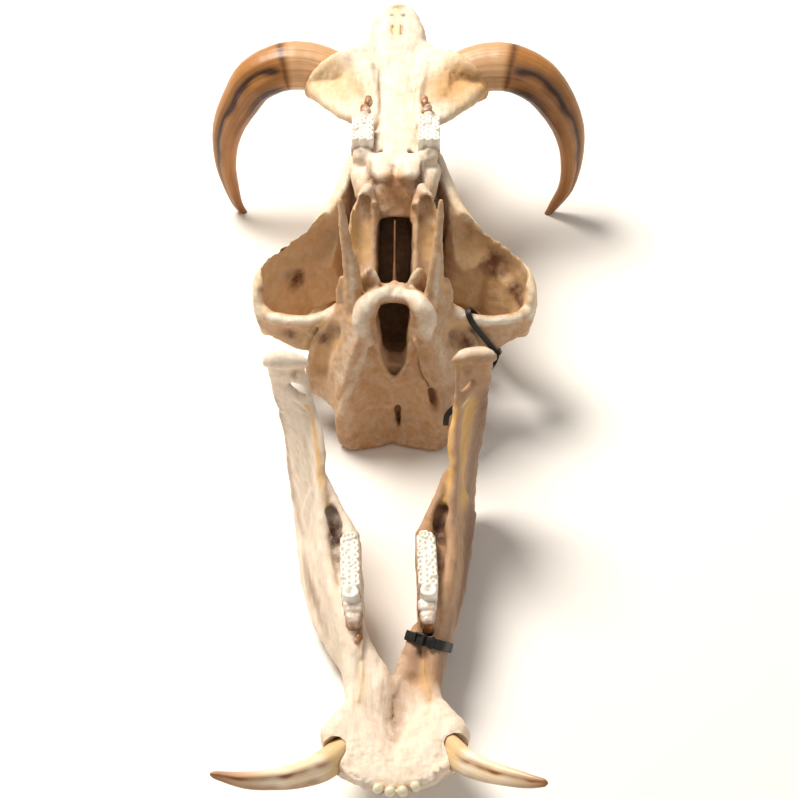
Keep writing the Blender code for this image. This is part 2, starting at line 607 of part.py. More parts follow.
def jaw_cutters(clay):
    add_hull(clay, [(0, -244, 64, 20), (0, -280, 72, 26), (0, -325, 92, 33)], (1,))
    # hollow between the last molar and the front edge of the ramus
    add_hull(clay, [(38.5, -141, 69.5, 3), (41, -131, 76, 3), (36.5, -149, 71, 3), (41, -138, 95, 7),
                   (36, -146, 95, 6)])
    # small openings for nerves, and the empty root sockets behind the chin
    add_hull(clay, [(40, -228, 47, 1.6), (32, -228, 46, 1.2)], (-1,))
    add_hull(clay, [(36, -257, 50, 1.5), (28, -256, 44, 1.2)], (-1,))
    add_hull(clay, [(24, -224, 66, 2.6), (29, -225, 66, 2.6), (24, -229, 66, 2.4), (28, -229, 66, 2.4),
                   (26, -226, 49, 2.6)], (1,))


# Ties

# A taut band lies on the convex outline of what it goes round. Rays from an oval round the bone
# find its skin in three planes, the band's two edges and its middle.
def band_outline(bone, middle, first, second, oval, wide):
    normal = first.cross(second).normalized()
    skin = tree_of(bone)
    found = []
    for level in (-1.0, 0.0, 1.0):
        centre = middle + normal * level * wide * MM
        for step in range(72):
            turn = math.tau * step / 72
            away = first * (oval[0] * MM * math.cos(turn)) + second * (oval[1] * MM * math.sin(turn))
            hit = skin.ray_cast(centre + away, -away.normalized(), away.length)
            if hit[0] is not None:
                side = hit[0] - middle
                found.append(Vector((side.dot(first), side.dot(second))))
    outline = []
    for index in convex_hull_2d(found):
        if not outline or (found[index] - outline[-1]).length > BAND_STEP * MM:
            outline.append(found[index])
    if (outline[0] - outline[-1]).length < BAND_STEP * MM:
        outline.pop()
    return outline


# The outline moved outwards, corner by corner, with the way out at each corner
def spread_outline(outline, off):
    heart = sum(outline, Vector((0.0, 0.0))) / len(outline)
    spread = []
    for place, point in enumerate(outline):
        outs = []
        for other in (outline[place - 1], outline[(place + 1) % len(outline)]):
            along = (other - point).normalized()
            out = Vector((along.y, -along.x))
            outs.append(out if out.dot(point - heart) > 0.0 else -out)
        out = (outs[0] + outs[1]).normalized()
        spread.append((point + out * off / max(0.4, out.dot(outs[0])), out))
    return spread


# A flat strap through spots (middle, way out, way across), six corners to a ring
def strap(name, spots, wide, thick, closed):
    bm = bmesh.new()
    rings = []
    for centre, away, across in spots:
        ring = []
        for step in range(6):
            turn = math.tau * (step + 0.5) / 6
            ring.append(bm.verts.new(centre + away * thick * MM * math.sin(turn) / math.sin(math.pi / 3)
                                     + across * wide * MM * math.cos(turn)))
        rings.append(ring)
    pairs = list(zip(rings, rings[1:]))
    if closed:
        pairs.append((rings[-1], rings[0]))
    for ring, next_ring in pairs:
        for step in range(6):
            after = (step + 1) % 6
            bm.faces.new([ring[step], ring[after], next_ring[after], next_ring[step]])
    if not closed:
        bm.faces.new(rings[0][::-1])
        bm.faces.new(rings[-1])
    bmesh.ops.recalc_face_normals(bm, faces=bm.faces[:])
    return make_object(name, bm)


# The lock is a small block on the strap
def lock(middle, along, across, out, size):
    bm = bmesh.new()
    bmesh.ops.create_cube(bm, size=1.0)
    axes = Matrix((along * size[0] * MM, across * size[1] * MM, out * size[2] * MM)).transposed().to_4x4()
    bmesh.ops.transform(bm, matrix=Matrix.Translation(middle) @ axes, verts=bm.verts[:])
    return make_object("lock", bm)


# The slack end that hangs from the lock
def slack_end(path, wide, thick, hint):
    spots = [Vector(point) for point in refine(path, 2)]
    rows = []
    for place, centre in enumerate(spots):
        ahead = spots[min(place + 1, len(spots) - 1)] - spots[max(place - 1, 0)]
        away = ahead.cross(hint).normalized()
        rows.append((centre, away, ahead.cross(away).normalized()))
    return strap("slack_end", rows, wide, thick, False)


# A tie round a bone: the band in the plane of first and second, its lock where it reaches
# furthest along lock_way, and a slack end if there is one
def tie(name, bone, middle, first, second, oval, wide, thick, lock_way, lock_size, slack=None):
    outline = band_outline(bone, middle, first, second, oval, wide)
    across = first.cross(second).normalized()
    spots = []
    for point, out in spread_outline(outline, (GAP + thick + 0.3) * MM):
        spots.append((middle + first * point.x + second * point.y, first * out.x + second * out.y, across))
    band = strap(name, spots, wide, thick, True)
    way = Vector(lock_way).normalized()
    corner = max(outline, key=lambda point: point.dot(way))
    out = first * way.x + second * way.y
    place = middle + first * corner.x + second * corner.y + out * (GAP + LOCK_SINK + 0.5 * lock_size[2]) * MM
    join(band, lock(place, out.cross(across), across, out, lock_size))
    if slack:
        path = [place] + [Vector(point) * MM for point in slack]
        join(band, slack_end(path, wide, thick, Vector((1.0, 0.0, 0.0))))
    return band


def tree_of(thing):
    bm = bmesh.new()
    bm.from_mesh(thing.data)
    tree = BVHTree.FromBMesh(bm)
    bm.free()
    return tree


# A cable tie round the right bar of the jaw joint, aslant, its slack end hanging behind the wing
def zygomatic_tie(bone):
    middle = Vector((65.5, 57.0, 80.0)) * MM
    down = Vector((0.5, 0.0, -1.0)).normalized()
    slack = [(75, 41, 54), (69, 30, 54), (60, 16, 51), (50, 4, 50), (42, -6, 51), (37.5, -10, 48),
             (36.5, -10, 42), (36.5, -8.5, 35)]
    return tie("tie_zygomatic", bone, middle, down, Vector((0.0, 1.0, 0.0)), (36, 18), 2.2, 0.9,
               (1.0, -0.6), (7.0, 6.0, 4.5), slack)


# A strap tie round the right side of the lower jaw, behind the chin
def jaw_tie(bone):
    middle = Vector((22.0, -215.0, 32.0)) * MM
    up = Vector((0.0, -0.6, 0.8))
    across = Vector((1.0, -0.24, -0.18)).normalized()
    return tie("tie_mandible", bone, middle, up, across, (50, 27), 3.6, 0.9, (0.85, -0.5), (8.0, 9.0, 5.0))


# Assembly

def build_cranium():
    clay = bmesh.new()
    for form in (cranium_body, occiput, condyles, paroccipitals, ear_region, pterygoids, palate,
                 upper_teeth, canine_flange, cheek, eye_brow):
        form(clay)
    bone = make_object("cranium", clay)
    remesh(bone)
    tools = bmesh.new()
    cranium_cutters(tools)
    cutter = make_object("cranium_cutter", tools)
    remesh(cutter)
    cut(bone, cutter, "MANIFOLD")
    remesh(bone)
    smooth(bone, 4)
    keep_largest(bone)
    thin_out(bone, CRANIUM_FACES)
    for side in BOTH:
        cut(bone, upper_tusk(side, GAP))
    place_cranium(bone)
    level_foot(bone)
    keep_largest(bone)
    return bone


def build_jaw():
    clay = bmesh.new()
    for form in (jaw_ramus, jaw_body, lower_teeth, jaw_front, incisors):
        form(clay)
    bone = make_object("mandible", clay)
    remesh(bone)
    tools = bmesh.new()
    jaw_cutters(tools)
    cutter = make_object("jaw_cutter", tools)
    remesh(cutter)
    cut(bone, cutter, "MANIFOLD")
    remesh(bone)
    smooth(bone, 3)
    keep_largest(bone)
    thin_out(bone, JAW_FACES)
    for side in BOTH:
        cut(bone, socket_mouth(side))
        cut(bone, lower_tusk(side, GAP))
    place_jaw(bone)
    level_foot(bone)
    keep_largest(bone)
    return bone


# Puts the middle of the whole thing's box over the origin
def centre_all():
    things = list(bpy.context.scene.objects)
    corners = [vert.co for thing in things for vert in thing.data.vertices]
    shift = [-0.5 * (min(co[axis] for co in corners) + max(co[axis] for co in corners))
             for axis in range(2)]
    for thing in things:
        thing.data.transform(Matrix.Translation((shift[0], shift[1], 0.0)))


def main():
    clear_scene()
    bone_white = bone_material("dry_bone", (0.80, 0.70, 0.55), 0.65)
    jaw_bone = bone_material("dry_jaw_bone", (0.82, 0.72, 0.58), 0.65)
    ivory = bone_material("stained_ivory", (0.55, 0.32, 0.12), 0.35)
    pale_ivory = bone_material("pale_ivory", (0.78, 0.58, 0.32), 0.35)
    black_tie = bone_material("black_tie", (0.02, 0.02, 0.02), 0.5)
    cranium = build_cranium()
    jaw = build_jaw()
    shade(cranium, bone_white)
    shade(jaw, jaw_bone)
    for side, word in ((1, "right"), (-1, "left")):
        tusk = upper_tusk(side)
        tusk.name = "upper_tusk_" + word
        place_cranium(tusk)
        level_foot(tusk)
        shade(tusk, ivory)
        tusk = lower_tusk(side)
        tusk.name = "lower_tusk_" + word
        place_jaw(tusk)
        shade(tusk, pale_ivory)
    shade(zygomatic_tie(cranium), black_tie)
    shade(jaw_tie(jaw), black_tie)
    centre_all()


main()
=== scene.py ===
import math
from functools import partial

import bmesh
import bpy
import numpy as np
from mathutils import Matrix, Vector, noise
from mathutils.bvhtree import BVHTree
from mathutils.geometry import convex_hull_2d


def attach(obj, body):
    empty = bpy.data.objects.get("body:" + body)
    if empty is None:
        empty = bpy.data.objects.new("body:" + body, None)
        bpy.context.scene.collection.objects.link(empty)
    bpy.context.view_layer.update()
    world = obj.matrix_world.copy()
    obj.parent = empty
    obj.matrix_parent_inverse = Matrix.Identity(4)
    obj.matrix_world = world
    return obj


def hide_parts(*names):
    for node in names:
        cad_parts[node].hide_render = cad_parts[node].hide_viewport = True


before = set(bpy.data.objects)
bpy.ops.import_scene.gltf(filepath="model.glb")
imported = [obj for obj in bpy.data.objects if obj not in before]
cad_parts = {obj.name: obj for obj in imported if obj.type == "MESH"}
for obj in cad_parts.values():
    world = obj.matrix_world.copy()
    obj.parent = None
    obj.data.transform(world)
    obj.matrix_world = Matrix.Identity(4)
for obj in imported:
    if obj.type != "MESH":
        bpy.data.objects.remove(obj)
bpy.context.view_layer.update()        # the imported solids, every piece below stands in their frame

mm = 0.001
both = (1, -1)
bench = {"x": 0.509, "y": -10.841}        # mm, where the nuchal crest's middle stands in the frame


# modelling: bone is built like clay, from lumps wrapped round balls of (x, y, z, radius) in mm

# smooth curve through a row of tuples, with the same number of steps in each span
def refine(points, steps):
    points = [tuple(point) for point in points]
    if len(points) < 3:
        return points
    before = tuple(2 * b - c for b, c in zip(points[0], points[1]))
    after = tuple(2 * b - c for b, c in zip(points[-1], points[-2]))
    ends = [before] + points + [after]
    fine = []
    for place in range(len(points) - 1):
        a, b, c, d = ends[place:place + 4]
        for step in range(steps):
            t = step / steps
            fine.append(tuple(0.5 * (2 * q + (r - p) * t + (2 * p - 5 * q + 4 * r - s) * t * t
                                     + (3 * q - p - 3 * r + s) * t ** 3)
                              for p, q, r, s in zip(a, b, c, d)))
    return fine + [points[-1]]


def wrapLump(clay, lump):
    wrapped = bmesh.ops.convex_hull(lump, input=lump.verts[:])
    inner = [part for part in wrapped["geom_interior"] if isinstance(part, bmesh.types.BMVert)]
    bmesh.ops.delete(lump, geom=inner, context="VERTS")
    mesh = bpy.data.meshes.new("lump")
    lump.to_mesh(mesh)
    clay.from_mesh(mesh)
    bpy.data.meshes.remove(mesh)
    lump.free()


def addHull(clay, balls, sides=both):
    for side in sides:
        lump = bmesh.new()
        for x, y, z, radius in balls:
            place = Matrix.Translation((side * x * mm, y * mm, z * mm))
            bmesh.ops.create_icosphere(lump, subdivisions=2, radius=radius * mm, matrix=place)
        bmesh.ops.delete(lump, geom=lump.edges[:], context="EDGES_FACES")
        wrapLump(clay, lump)


def addChain(clay, balls, sides=both, steps=3):
    balls = refine(balls, steps)
    for start, end in zip(balls, balls[1:]):
        addHull(clay, [start, end], sides)


def addPlate(clay, rows, sides=both, steps=3):
    rows = [refine(row, steps) for row in rows]
    columns = [refine(column, steps) for column in zip(*rows)]
    rows = list(zip(*columns))
    for row, nextRow in zip(rows, rows[1:]):
        for place in range(len(row) - 1):
            addHull(clay, [row[place], row[place + 1], nextRow[place], nextRow[place + 1]], sides)


# body along Y through sections (y, low z, high z, half width low, half width high, squareness)
def addBody(clay, sections, steps=3, around=36):
    rings = []
    for y, low, high, halfLow, halfHigh, square in refine(sections, steps):
        lump = bmesh.new()
        bmesh.ops.create_circle(lump, segments=around, radius=1.0)
        ring = []
        for vert in lump.verts:
            across = math.copysign(abs(vert.co.x) ** (2.0 / square), vert.co.x)
            share = 0.5 + 0.5 * math.copysign(abs(vert.co.y) ** (2.0 / square), vert.co.y)
            half = halfLow + (halfHigh - halfLow) * share
            ring.append((across * half * mm, y * mm, (low + (high - low) * share) * mm))
        lump.free()
        rings.append(ring)
    for ring, nextRing in zip(rings, rings[1:]):
        lump = bmesh.new()
        for point in ring + nextRing:
            lump.verts.new(point)
        wrapLump(clay, lump)


def makeObject(name, bm):
    mesh = bpy.data.meshes.new(name)
    bm.to_mesh(mesh)
    bm.free()
    piece = bpy.data.objects.new(name, mesh)
    bpy.context.scene.collection.objects.link(piece)
    return piece


def dropObject(piece):
    mesh = piece.data
    bpy.data.objects.remove(piece)
    bpy.data.meshes.remove(mesh)


def applyModifiers(piece):
    graph = bpy.context.evaluated_depsgraph_get()
    mesh = bpy.data.meshes.new_from_object(piece.evaluated_get(graph))
    old = piece.data
    piece.modifiers.clear()
    piece.data = mesh
    bpy.data.meshes.remove(old)


def remeshClay(piece, voxel):
    modifier = piece.modifiers.new("Remesh", "REMESH")
    modifier.mode = "VOXEL"
    modifier.voxel_size = voxel * mm
    applyModifiers(piece)


def smoothClay(piece, repeats):
    modifier = piece.modifiers.new("Smooth", "SMOOTH")
    modifier.factor = 0.5
    modifier.iterations = repeats
    applyModifiers(piece)


def cutClay(piece, cutter):
    modifier = piece.modifiers.new("Cut", "BOOLEAN")
    modifier.operation = "DIFFERENCE"
    modifier.solver = "MANIFOLD"
    modifier.object = cutter
    applyModifiers(piece)
    dropObject(cutter)


def thinOut(piece, faces):
    now = sum(len(face.vertices) - 2 for face in piece.data.polygons)
    modifier = piece.modifiers.new("Decimate", "DECIMATE")
    modifier.ratio = min(1.0, faces / now)
    applyModifiers(piece)


# keeps the biggest closed surface, so nothing loose is left inside or beside it
def keepLargest(piece):
    bm = bmesh.new()
    bm.from_mesh(piece.data)
    seen = set()
    islands = []
    for vert in bm.verts:
        if vert in seen:
            continue
        seen.add(vert)
        queue = [vert]
        island = []
        while queue:
            here = queue.pop()
            island.append(here)
            for edge in here.link_edges:
                other = edge.other_vert(here)
                if other not in seen:
                    seen.add(other)
                    queue.append(other)
        islands.append(island)
    islands.sort(key=len)
    for island in islands[:-1]:
        bmesh.ops.delete(bm, geom=island, context="VERTS")
    bm.to_mesh(piece.data)
    bm.free()


# carving: strokes along paths move the skin, and paint it

# places in mm and ways outwards of all points
def readSkin(piece):
    count = len(piece.data.vertices)
    places = np.empty(count * 3)
    ways = np.empty(count * 3)
    piece.data.vertices.foreach_get("co", places)
    piece.data.vertices.foreach_get("normal", ways)
    return places.reshape(-1, 3) / mm, ways.reshape(-1, 3)


def writeSkin(piece, places):
    piece.data.vertices.foreach_set("co", (places * mm).ravel())
    piece.data.update()


# 0 at start, 1 at end and a straight rise between them
def ramp(value, start, end):
    return np.clip((value - start) / (end - start), 0.0, 1.0)


# distance in mm from each point to a path, in the path's own order of straight spans
def farFrom(places, path):
    path = np.array([point[:3] for point in path], dtype=float)
    if len(path) == 1:
        return np.linalg.norm(places - path[0], axis=1)
    best = np.full(len(places), 1e9)
    for start, end in zip(path, path[1:]):
        span = end - start
        share = np.clip((places - start) @ span / max(span @ span, 1e-9), 0.0, 1.0)
        best = np.minimum(best, np.linalg.norm(places - start - share[:, None] * span, axis=1))
    return best


# 1 on a path, falling softly to 0 at the radius
def softEdge(far, radius):
    return np.clip(1.0 - (far / radius) ** 2, 0.0, 1.0) ** 2.0


def mirrored(path):
    return [(-point[0],) + tuple(point[1:]) for point in path]


def sideLine(path, side):
    return refine(path if side > 0 else mirrored(path), 4)


# strokes: (path, radius, height, sides), height below 0 sinks a groove or pit
def carve(piece, strokes):
    places, ways = readSkin(piece)
    move = np.zeros(len(places))
    for path, radius, height, sides in strokes:
        for side in sides:
            line = sideLine(path, side)
            move += height * softEdge(farFrom(places, line), radius)
    writeSkin(piece, places + ways * move[:, None])


# uneven skin: noise of a size and height in mm, all over or only near a path
def roughen(piece, size, height, seed, path=None, radius=0.0, stretch=(1.0, 1.0, 1.0)):
    places, ways = readSkin(piece)
    share = np.ones(len(places))
    if path is not None:
        share = np.maximum(softEdge(farFrom(places, path), radius),
                           softEdge(farFrom(places, mirrored(path)), radius))
    move = np.zeros(len(places))
    for index in np.nonzero(share > 0.01)[0]:
        x, y, z = places[index]
        spot = Vector((x * stretch[0], y * stretch[1], z * stretch[2])) / size
        move[index] = noise.noise(spot + Vector((seed, 0.0, 0.0)))
    writeSkin(piece, places + ways * (move * share * height)[:, None])


# painted layers, 0 to 1 at each point, that the materials read by name
def setAttributes(piece, **layers):
    for name, values in layers.items():
        layer = piece.data.attributes.new(name, "FLOAT", "POINT")
        layer.data.foreach_set("value", np.clip(values, 0.0, 1.0).astype(np.float32))


# spots: (path, radius, strength, sides)
def paintSpots(places, spots):
    tone = np.zeros(len(places))
    for path, radius, strength, sides in spots:
        for side in sides:
            line = sideLine(path, side)
            tone = np.maximum(tone, strength * softEdge(farFrom(places, line), radius))
    return tone


# how shut in each point is: the share of short rays from it that meet the piece again; the materials
# paint it as shade in the hollows
def hollowness(piece, reach, rays=14):
    goldenAngle = 2.39996       # radians, turns each ray well away from the ones before it
    widest = 0.85               # how far down from the skin's own way the widest ray leans
    lift = 0.4 * mm             # starts the rays just off the skin
    farLoss = 0.6               # what a hit at full reach counts less than a near one
    bm = bmesh.new()
    bm.from_mesh(piece.data)
    tree = BVHTree.FromBMesh(bm)
    bm.free()
    spread = []
    for step in range(rays):
        rise = 1.0 - (step + 0.5) / rays * widest
        turn = step * goldenAngle
        flat = math.sqrt(1.0 - rise * rise)
        spread.append(Vector((flat * math.cos(turn), flat * math.sin(turn), rise)))
    shut = np.zeros(len(piece.data.vertices))
    for vert in piece.data.vertices:
        turned = vert.normal.to_track_quat("Z", "X")
        start = vert.co + vert.normal * lift
        total = 0.0
        for ray in spread:
            hit = tree.ray_cast(start, turned @ ray, reach * mm)
            if hit[0] is not None:
                total += 1.0 - farLoss * hit[3] / (reach * mm)
        shut[vert.index] = total / rays
    return shut


def finishSkin(piece, material, angle=50.0):
    piece.data.materials.clear()
    piece.data.materials.append(material)
    for face in piece.data.polygons:
        face.material_index = 0
    piece.data.shade_smooth()
    piece.data.set_sharp_from_angle(angle=math.radians(angle))


def placeCranium(piece):
    turn = Matrix.Rotation(math.radians(cranium["yaw"]), 4, "Z")
    shift = Matrix.Translation(((cranium["shift"] + bench["x"]) * mm, bench["y"] * mm, 0.0))
    piece.data.transform(shift @ turn)


# the lower jaw is a little askew, as real ones are: it leans sideways with height
def placeJaw(piece):
    lean = Matrix.Identity(4)
    lean[0][2] = jaw["lean"]
    turn = Matrix.Rotation(math.radians(jaw["yaw"]), 4, "Z")
    across = jaw["shift"] - jaw["lean"] * jaw["leanLevel"] + bench["x"]
    piece.data.transform(Matrix.Translation((across * mm, bench["y"] * mm, 0.0)) @ turn @ lean)


# what would pass through the floor is pressed flat on it, as the worn places it rests on are
def levelFoot(piece):
    for vert in piece.data.vertices:
        vert.co.z = max(vert.co.z, 0.0)


def takePlace(piece, *nodes):
    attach(piece, "root")
    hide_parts(*nodes)


# materials

def linear(colour):
    parts = [int(colour[place:place + 2], 16) / 255 for place in (1, 3, 5)]
    return tuple(part / 12.92 if part <= 0.04045 else ((part + 0.055) / 1.055) ** 2.4
                 for part in parts) + (1.0,)


def addNode(tree, kind, inputs=None, **settings):
    node = tree.nodes.new(kind)
    for name, value in settings.items():
        setattr(node, name, value)
    for name, value in (inputs or {}).items():
        if isinstance(value, bpy.types.NodeSocket):
            tree.links.new(value, node.inputs[name])
        else:
            node.inputs[name].default_value = value
    return node


def newMaterial(name):
    material = bpy.data.materials.new(name)
    material.use_nodes = True
    tree = material.node_tree
    return material, tree, tree.nodes["Principled BSDF"]


# lays colours over one another, each as strong as its share says
def layTones(tree, tone, layers):
    for share, colour in layers:
        tone = addNode(tree, "ShaderNodeMix", {0: share, 6: tone, 7: linear(colour)},
                       data_type="RGBA").outputs[2]
    return tone


# breaks a painted edge up with noise, which pushes round its centre as far as the mask reaches
def fray(tree, mask, wild, strength, centre=0.5, reach=4.0):
    where = addNode(tree, "ShaderNodeMath", {0: mask, 1: reach}, operation="MULTIPLY", use_clamp=True)
    push = wild
    for operation, value in (("SUBTRACT", centre), ("MULTIPLY", strength),
                             ("MULTIPLY", where.outputs[0])):
        push = addNode(tree, "ShaderNodeMath", {0: push, 1: value}, operation=operation).outputs[0]
    return addNode(tree, "ShaderNodeMath", {0: mask, 1: push}, operation="ADD",
                   use_clamp=True).outputs[0]


# rough: (pattern, lowest, highest roughness); relief: (pattern, strength, depth in mm)
def finishMaterial(tree, shader, tone, rough, ior, relief):
    matt = addNode(tree, "ShaderNodeMapRange",
                   {"Value": rough[0], "To Min": rough[1], "To Max": rough[2]})
    bump = addNode(tree, "ShaderNodeBump", {"Height": relief[0], "Strength": relief[1],
                                            "Distance": relief[2] * mm})
    for name, socket in (("Base Color", tone), ("Roughness", matt.outputs["Result"]),
                         ("Normal", bump.outputs["Normal"])):
        tree.links.new(socket, shader.inputs[name])
    shader.inputs["IOR"].default_value = ior


# noise of dry bone: width in mm, detail, roughness
boneGrain = {"cloud": (30, 5.0, 0.6),         # broad patches
             "blotch": (9, 7.0, 0.68),        # blotches, which fray the painted edges
             "streak": (4, 6.0, 0.65),        # streaks, drawn out along the growth
             "grit": (0.9, 3.0, 0.6)}         # pores under 1 mm, drawn at 0.9 mm to show


# Dry bone, sun-bleached and painted paler where light falls, earth-stained and painted darker where
# shade falls: a chalky, slightly waxy surface with fine pores, faint streaks along its growth,
# painted shade in every hollow and a gold tint that is partly painted highlight on lit edges.
def dryBoneMaterial(name, tones):
    material, tree, shader = newMaterial(name)
    coord = addNode(tree, "ShaderNodeTexCoord").outputs["Object"]
    drawnOut = addNode(tree, "ShaderNodeMapping", {"Vector": coord, "Scale": tones["streakAlong"]})
    painted = {layer: addNode(tree, "ShaderNodeAttribute", attribute_name=layer).outputs["Fac"]
               for layer in ("bleach", "earth", "stain", "hollow", "gold")}
    grain = {}
    for pattern, (width, detail, rough) in boneGrain.items():
        grain[pattern] = addNode(tree, "ShaderNodeTexNoise", {
            "Vector": drawnOut.outputs["Vector"] if pattern == "streak" else coord,
            "Scale": 1 / (width * mm), "Detail": detail, "Roughness": rough}).outputs["Fac"]
    shares = {}
    for layer, pattern, start, end, most in (("streak", grain["streak"], 0.35, 0.7, tones["streak"]),
                                             ("hollow", painted["hollow"], 0.22, 0.8, 0.85),
                                             ("pore", grain["grit"], 0.62, 0.75, 0.35)):
        shares[layer] = addNode(tree, "ShaderNodeMapRange", {
            "Value": pattern, "From Min": start, "From Max": end, "To Max": most}).outputs["Result"]
    tone = layTones(tree, linear(tones["tan"]), (
        (fray(tree, painted["bleach"], grain["blotch"], 1.3), tones["ivory"]),
        (fray(tree, painted["earth"], grain["streak"], 1.2), tones["earth"]),
        (shares["streak"], tones["streakTone"]),
        (fray(tree, painted["gold"], grain["streak"], 1.0), tones["gold"]),
        (fray(tree, painted["stain"], grain["blotch"], 2.2), tones["stain"]),
        (shares["hollow"], tones["hollow"]),
        (shares["pore"], tones["streakTone"])))
    relief = addNode(tree, "ShaderNodeMath", {0: grain["streak"], 1: grain["grit"]}, operation="ADD")
    finishMaterial(tree, shader, tone, (grain["cloud"], 0.5, 0.72), 1.53,
                   (relief.outputs[0], 0.75, 0.8))
    return material


# Tusk ivory: hard and a little glossy, with fine cracks along it, dark brown along the lengthwise
# groove, painted shade on the inner bend and a paler ring where the gum held it. UV runs round (U)
# and along (V).
def tuskMaterial(name, tones):
    material, tree, shader = newMaterial(name)
    coord = addNode(tree, "ShaderNodeTexCoord")
    along = addNode(tree, "ShaderNodeSeparateXYZ", {"Vector": coord.outputs["UV"]}).outputs["Y"]
    dark = addNode(tree, "ShaderNodeAttribute", attribute_name="stain").outputs["Fac"]
    cloud = addNode(tree, "ShaderNodeTexNoise",        # blotches about 14 mm wide
                    {"Vector": coord.outputs["Object"], "Scale": 1 / (14 * mm), "Detail": 4.0})
    drawnOut = addNode(tree, "ShaderNodeMapping",
                       {"Vector": coord.outputs["UV"], "Scale": (60.0, 3.0, 1.0)})
    fibre = addNode(tree, "ShaderNodeTexNoise",        # cracks along the tusk, sixty round it
                    {"Vector": drawnOut.outputs["Vector"], "Scale": 1.0, "Detail": 6.0,
                     "Roughness": 0.65}).outputs["Fac"]
    shares = []
    for pattern, start, end, first, last, kind in (
            (along, tones["ringFrom"], tones["ringTo"], 1.0, 0.0, "SMOOTHSTEP"),
            (along, tones["tipFrom"], 1.0, 0.0, 1.0, "LINEAR"), (fibre, 0.5, 0.72, 0.0, 0.6, "LINEAR")):
        shares.append(addNode(tree, "ShaderNodeMapRange", {
            "Value": pattern, "From Min": start, "From Max": end, "To Min": first, "To Max": last},
            interpolation_type=kind).outputs["Result"])
    tone = layTones(tree, linear(tones["body"]), (
        (cloud.outputs["Fac"], tones["pale"]), (shares[0], tones["ring"]), (shares[1], tones["tip"]),
        (shares[2], tones["streak"]), (fray(tree, dark, fibre, 1.6, 0.35, 1.0), tones["stain"])))
    finishMaterial(tree, shader, tone, (fibre, 0.3, 0.5), 1.54, (fibre, 0.35, 0.5))
    return material


# Tooth enamel and dentine: white rings of enamel, brown patches lower down and brown painted shade
# between the columns
def toothMaterial(name, tones):
    material, tree, shader = newMaterial(name)
    coord = addNode(tree, "ShaderNodeTexCoord").outputs["Object"]
    ring, brown, hollow = [addNode(tree, "ShaderNodeAttribute", attribute_name=layer).outputs["Fac"]
                           for layer in ("ring", "stain", "hollow")]
    cloud = addNode(tree, "ShaderNodeTexNoise",        # clouds about 5 mm wide
                    {"Vector": coord, "Scale": 1 / (5 * mm), "Detail": 5.0}).outputs["Fac"]
    patch = addNode(tree, "ShaderNodeMath", {0: brown, 1: cloud}, operation="MULTIPLY").outputs[0]
    patch = addNode(tree, "ShaderNodeMath", {0: patch, 1: 2.0}, operation="MULTIPLY", use_clamp=True)
    # painted shade between the columns, from the hollows
    deep = addNode(tree, "ShaderNodeMapRange", {"Value": hollow, "From Min": 0.3, "From Max": 0.8,
                                                "To Max": 0.6}).outputs["Result"]
    tone = layTones(tree, linear(tones["enamel"]), (
        (cloud, tones["cream"]), (ring, tones["core"]), (patch.outputs[0], tones["line"]),
        (deep, tones["line"])))
    finishMaterial(tree, shader, tone, (cloud, 0.28, 0.5), 1.62, (cloud, 0.3, 0.3))
    return material


# Black nylon of a cable tie: satin, with a film of dust
def nylonMaterial(name, tones):
    material, tree, shader = newMaterial(name)
    coord = addNode(tree, "ShaderNodeTexCoord").outputs["Object"]
    dust = addNode(tree, "ShaderNodeTexNoise",         # specks about 3 mm wide
                   {"Vector": coord, "Scale": 1 / (3 * mm), "Detail": 6.0,
                    "Roughness": 0.7}).outputs["Fac"]
    share = addNode(tree, "ShaderNodeMapRange", {"Value": dust, "From Min": 0.45, "From Max": 0.8,
                                                 "To Max": 0.25}).outputs["Result"]
    tone = layTones(tree, linear(tones["nylon"]), ((share, tones["dust"]),))
    finishMaterial(tree, shader, tone, (dust, 0.38, 0.62), 1.53, (dust, 0.15, 0.2))
    return material


# cranium

# rough places: (size, height, seed, path, radius, stretch), in mm
cranium = {"yaw": -0.45, "shift": -4.0, "snout": 386.0, "crest": 43.0, "flange": 76.0,
           "palate": 166.0, "condyle": 130.0, "voxel": 1.25, "smooth": 4, "faces": 170000,
           "rough": ((14.0, 1.0, 3.0), (4.5, 0.45, 9.0),
                     (2.6, 0.9, 17.0, [(54, 45, 98), (66, 44, 60), (67, 34, 40), (43, 1, 30),
                                       (30, -4, 4), (0, 5, 4)], 8.0),
                     (3.4, 0.7, 23.0, [(66, 279, 147), (40, 283, 152), (38, 257, 152)], 16.0,
                      (1.0, 1.0, 0.4))),
           "tones": {"tan": "#C39361", "ivory": "#FAF0DC", "earth": "#8A5A30", "stain": "#5A2C10",
                     "hollow": "#42200C", "gold": "#E6BC7C", "streak": 0.3, "streakTone": "#9A6E48",
                     "streakAlong": (1.0, 0.18, 1.0)}}


def craniumBody(clay):
    snout, top = cranium["snout"], cranium["palate"]
    addBody(clay, [
        (snout, 126, 144, 6, 9, 2.2), (snout - 6, 114, 147, 11, 16, 2.4),
        (snout - 16, 102, 150, 15, 22, 2.8), (snout - 38, 89, 151, 19, 27, 3.2),
        (snout - 70, 80, 151, 22, 29, 3.2), (snout - 112, 68, 150, 26, 24, 3.0),
        (snout - 148, 58, 152, 31, 22, 3.0), (snout - 176, 48, 160, 36, 24, 3.0),
        (snout - 206, 38, top, 41, 28, 3.0), (snout - 236, 28, top, 45, 26, 3.0),
        (snout - 254, 21, 160, 48, 24, 3.0), (snout - 270, 16, 140, 48, 24, 3.0)])
    addBody(clay, [(124, 16, 132, 44, 26, 3.0), (96, 10, 118, 38, 26, 3.0), (64, 6, 119, 37, 22, 3.0),
                   (46, 5, 124, 38, 20, 3.0), (30, 5, 94, 36, 24, 3.0)])


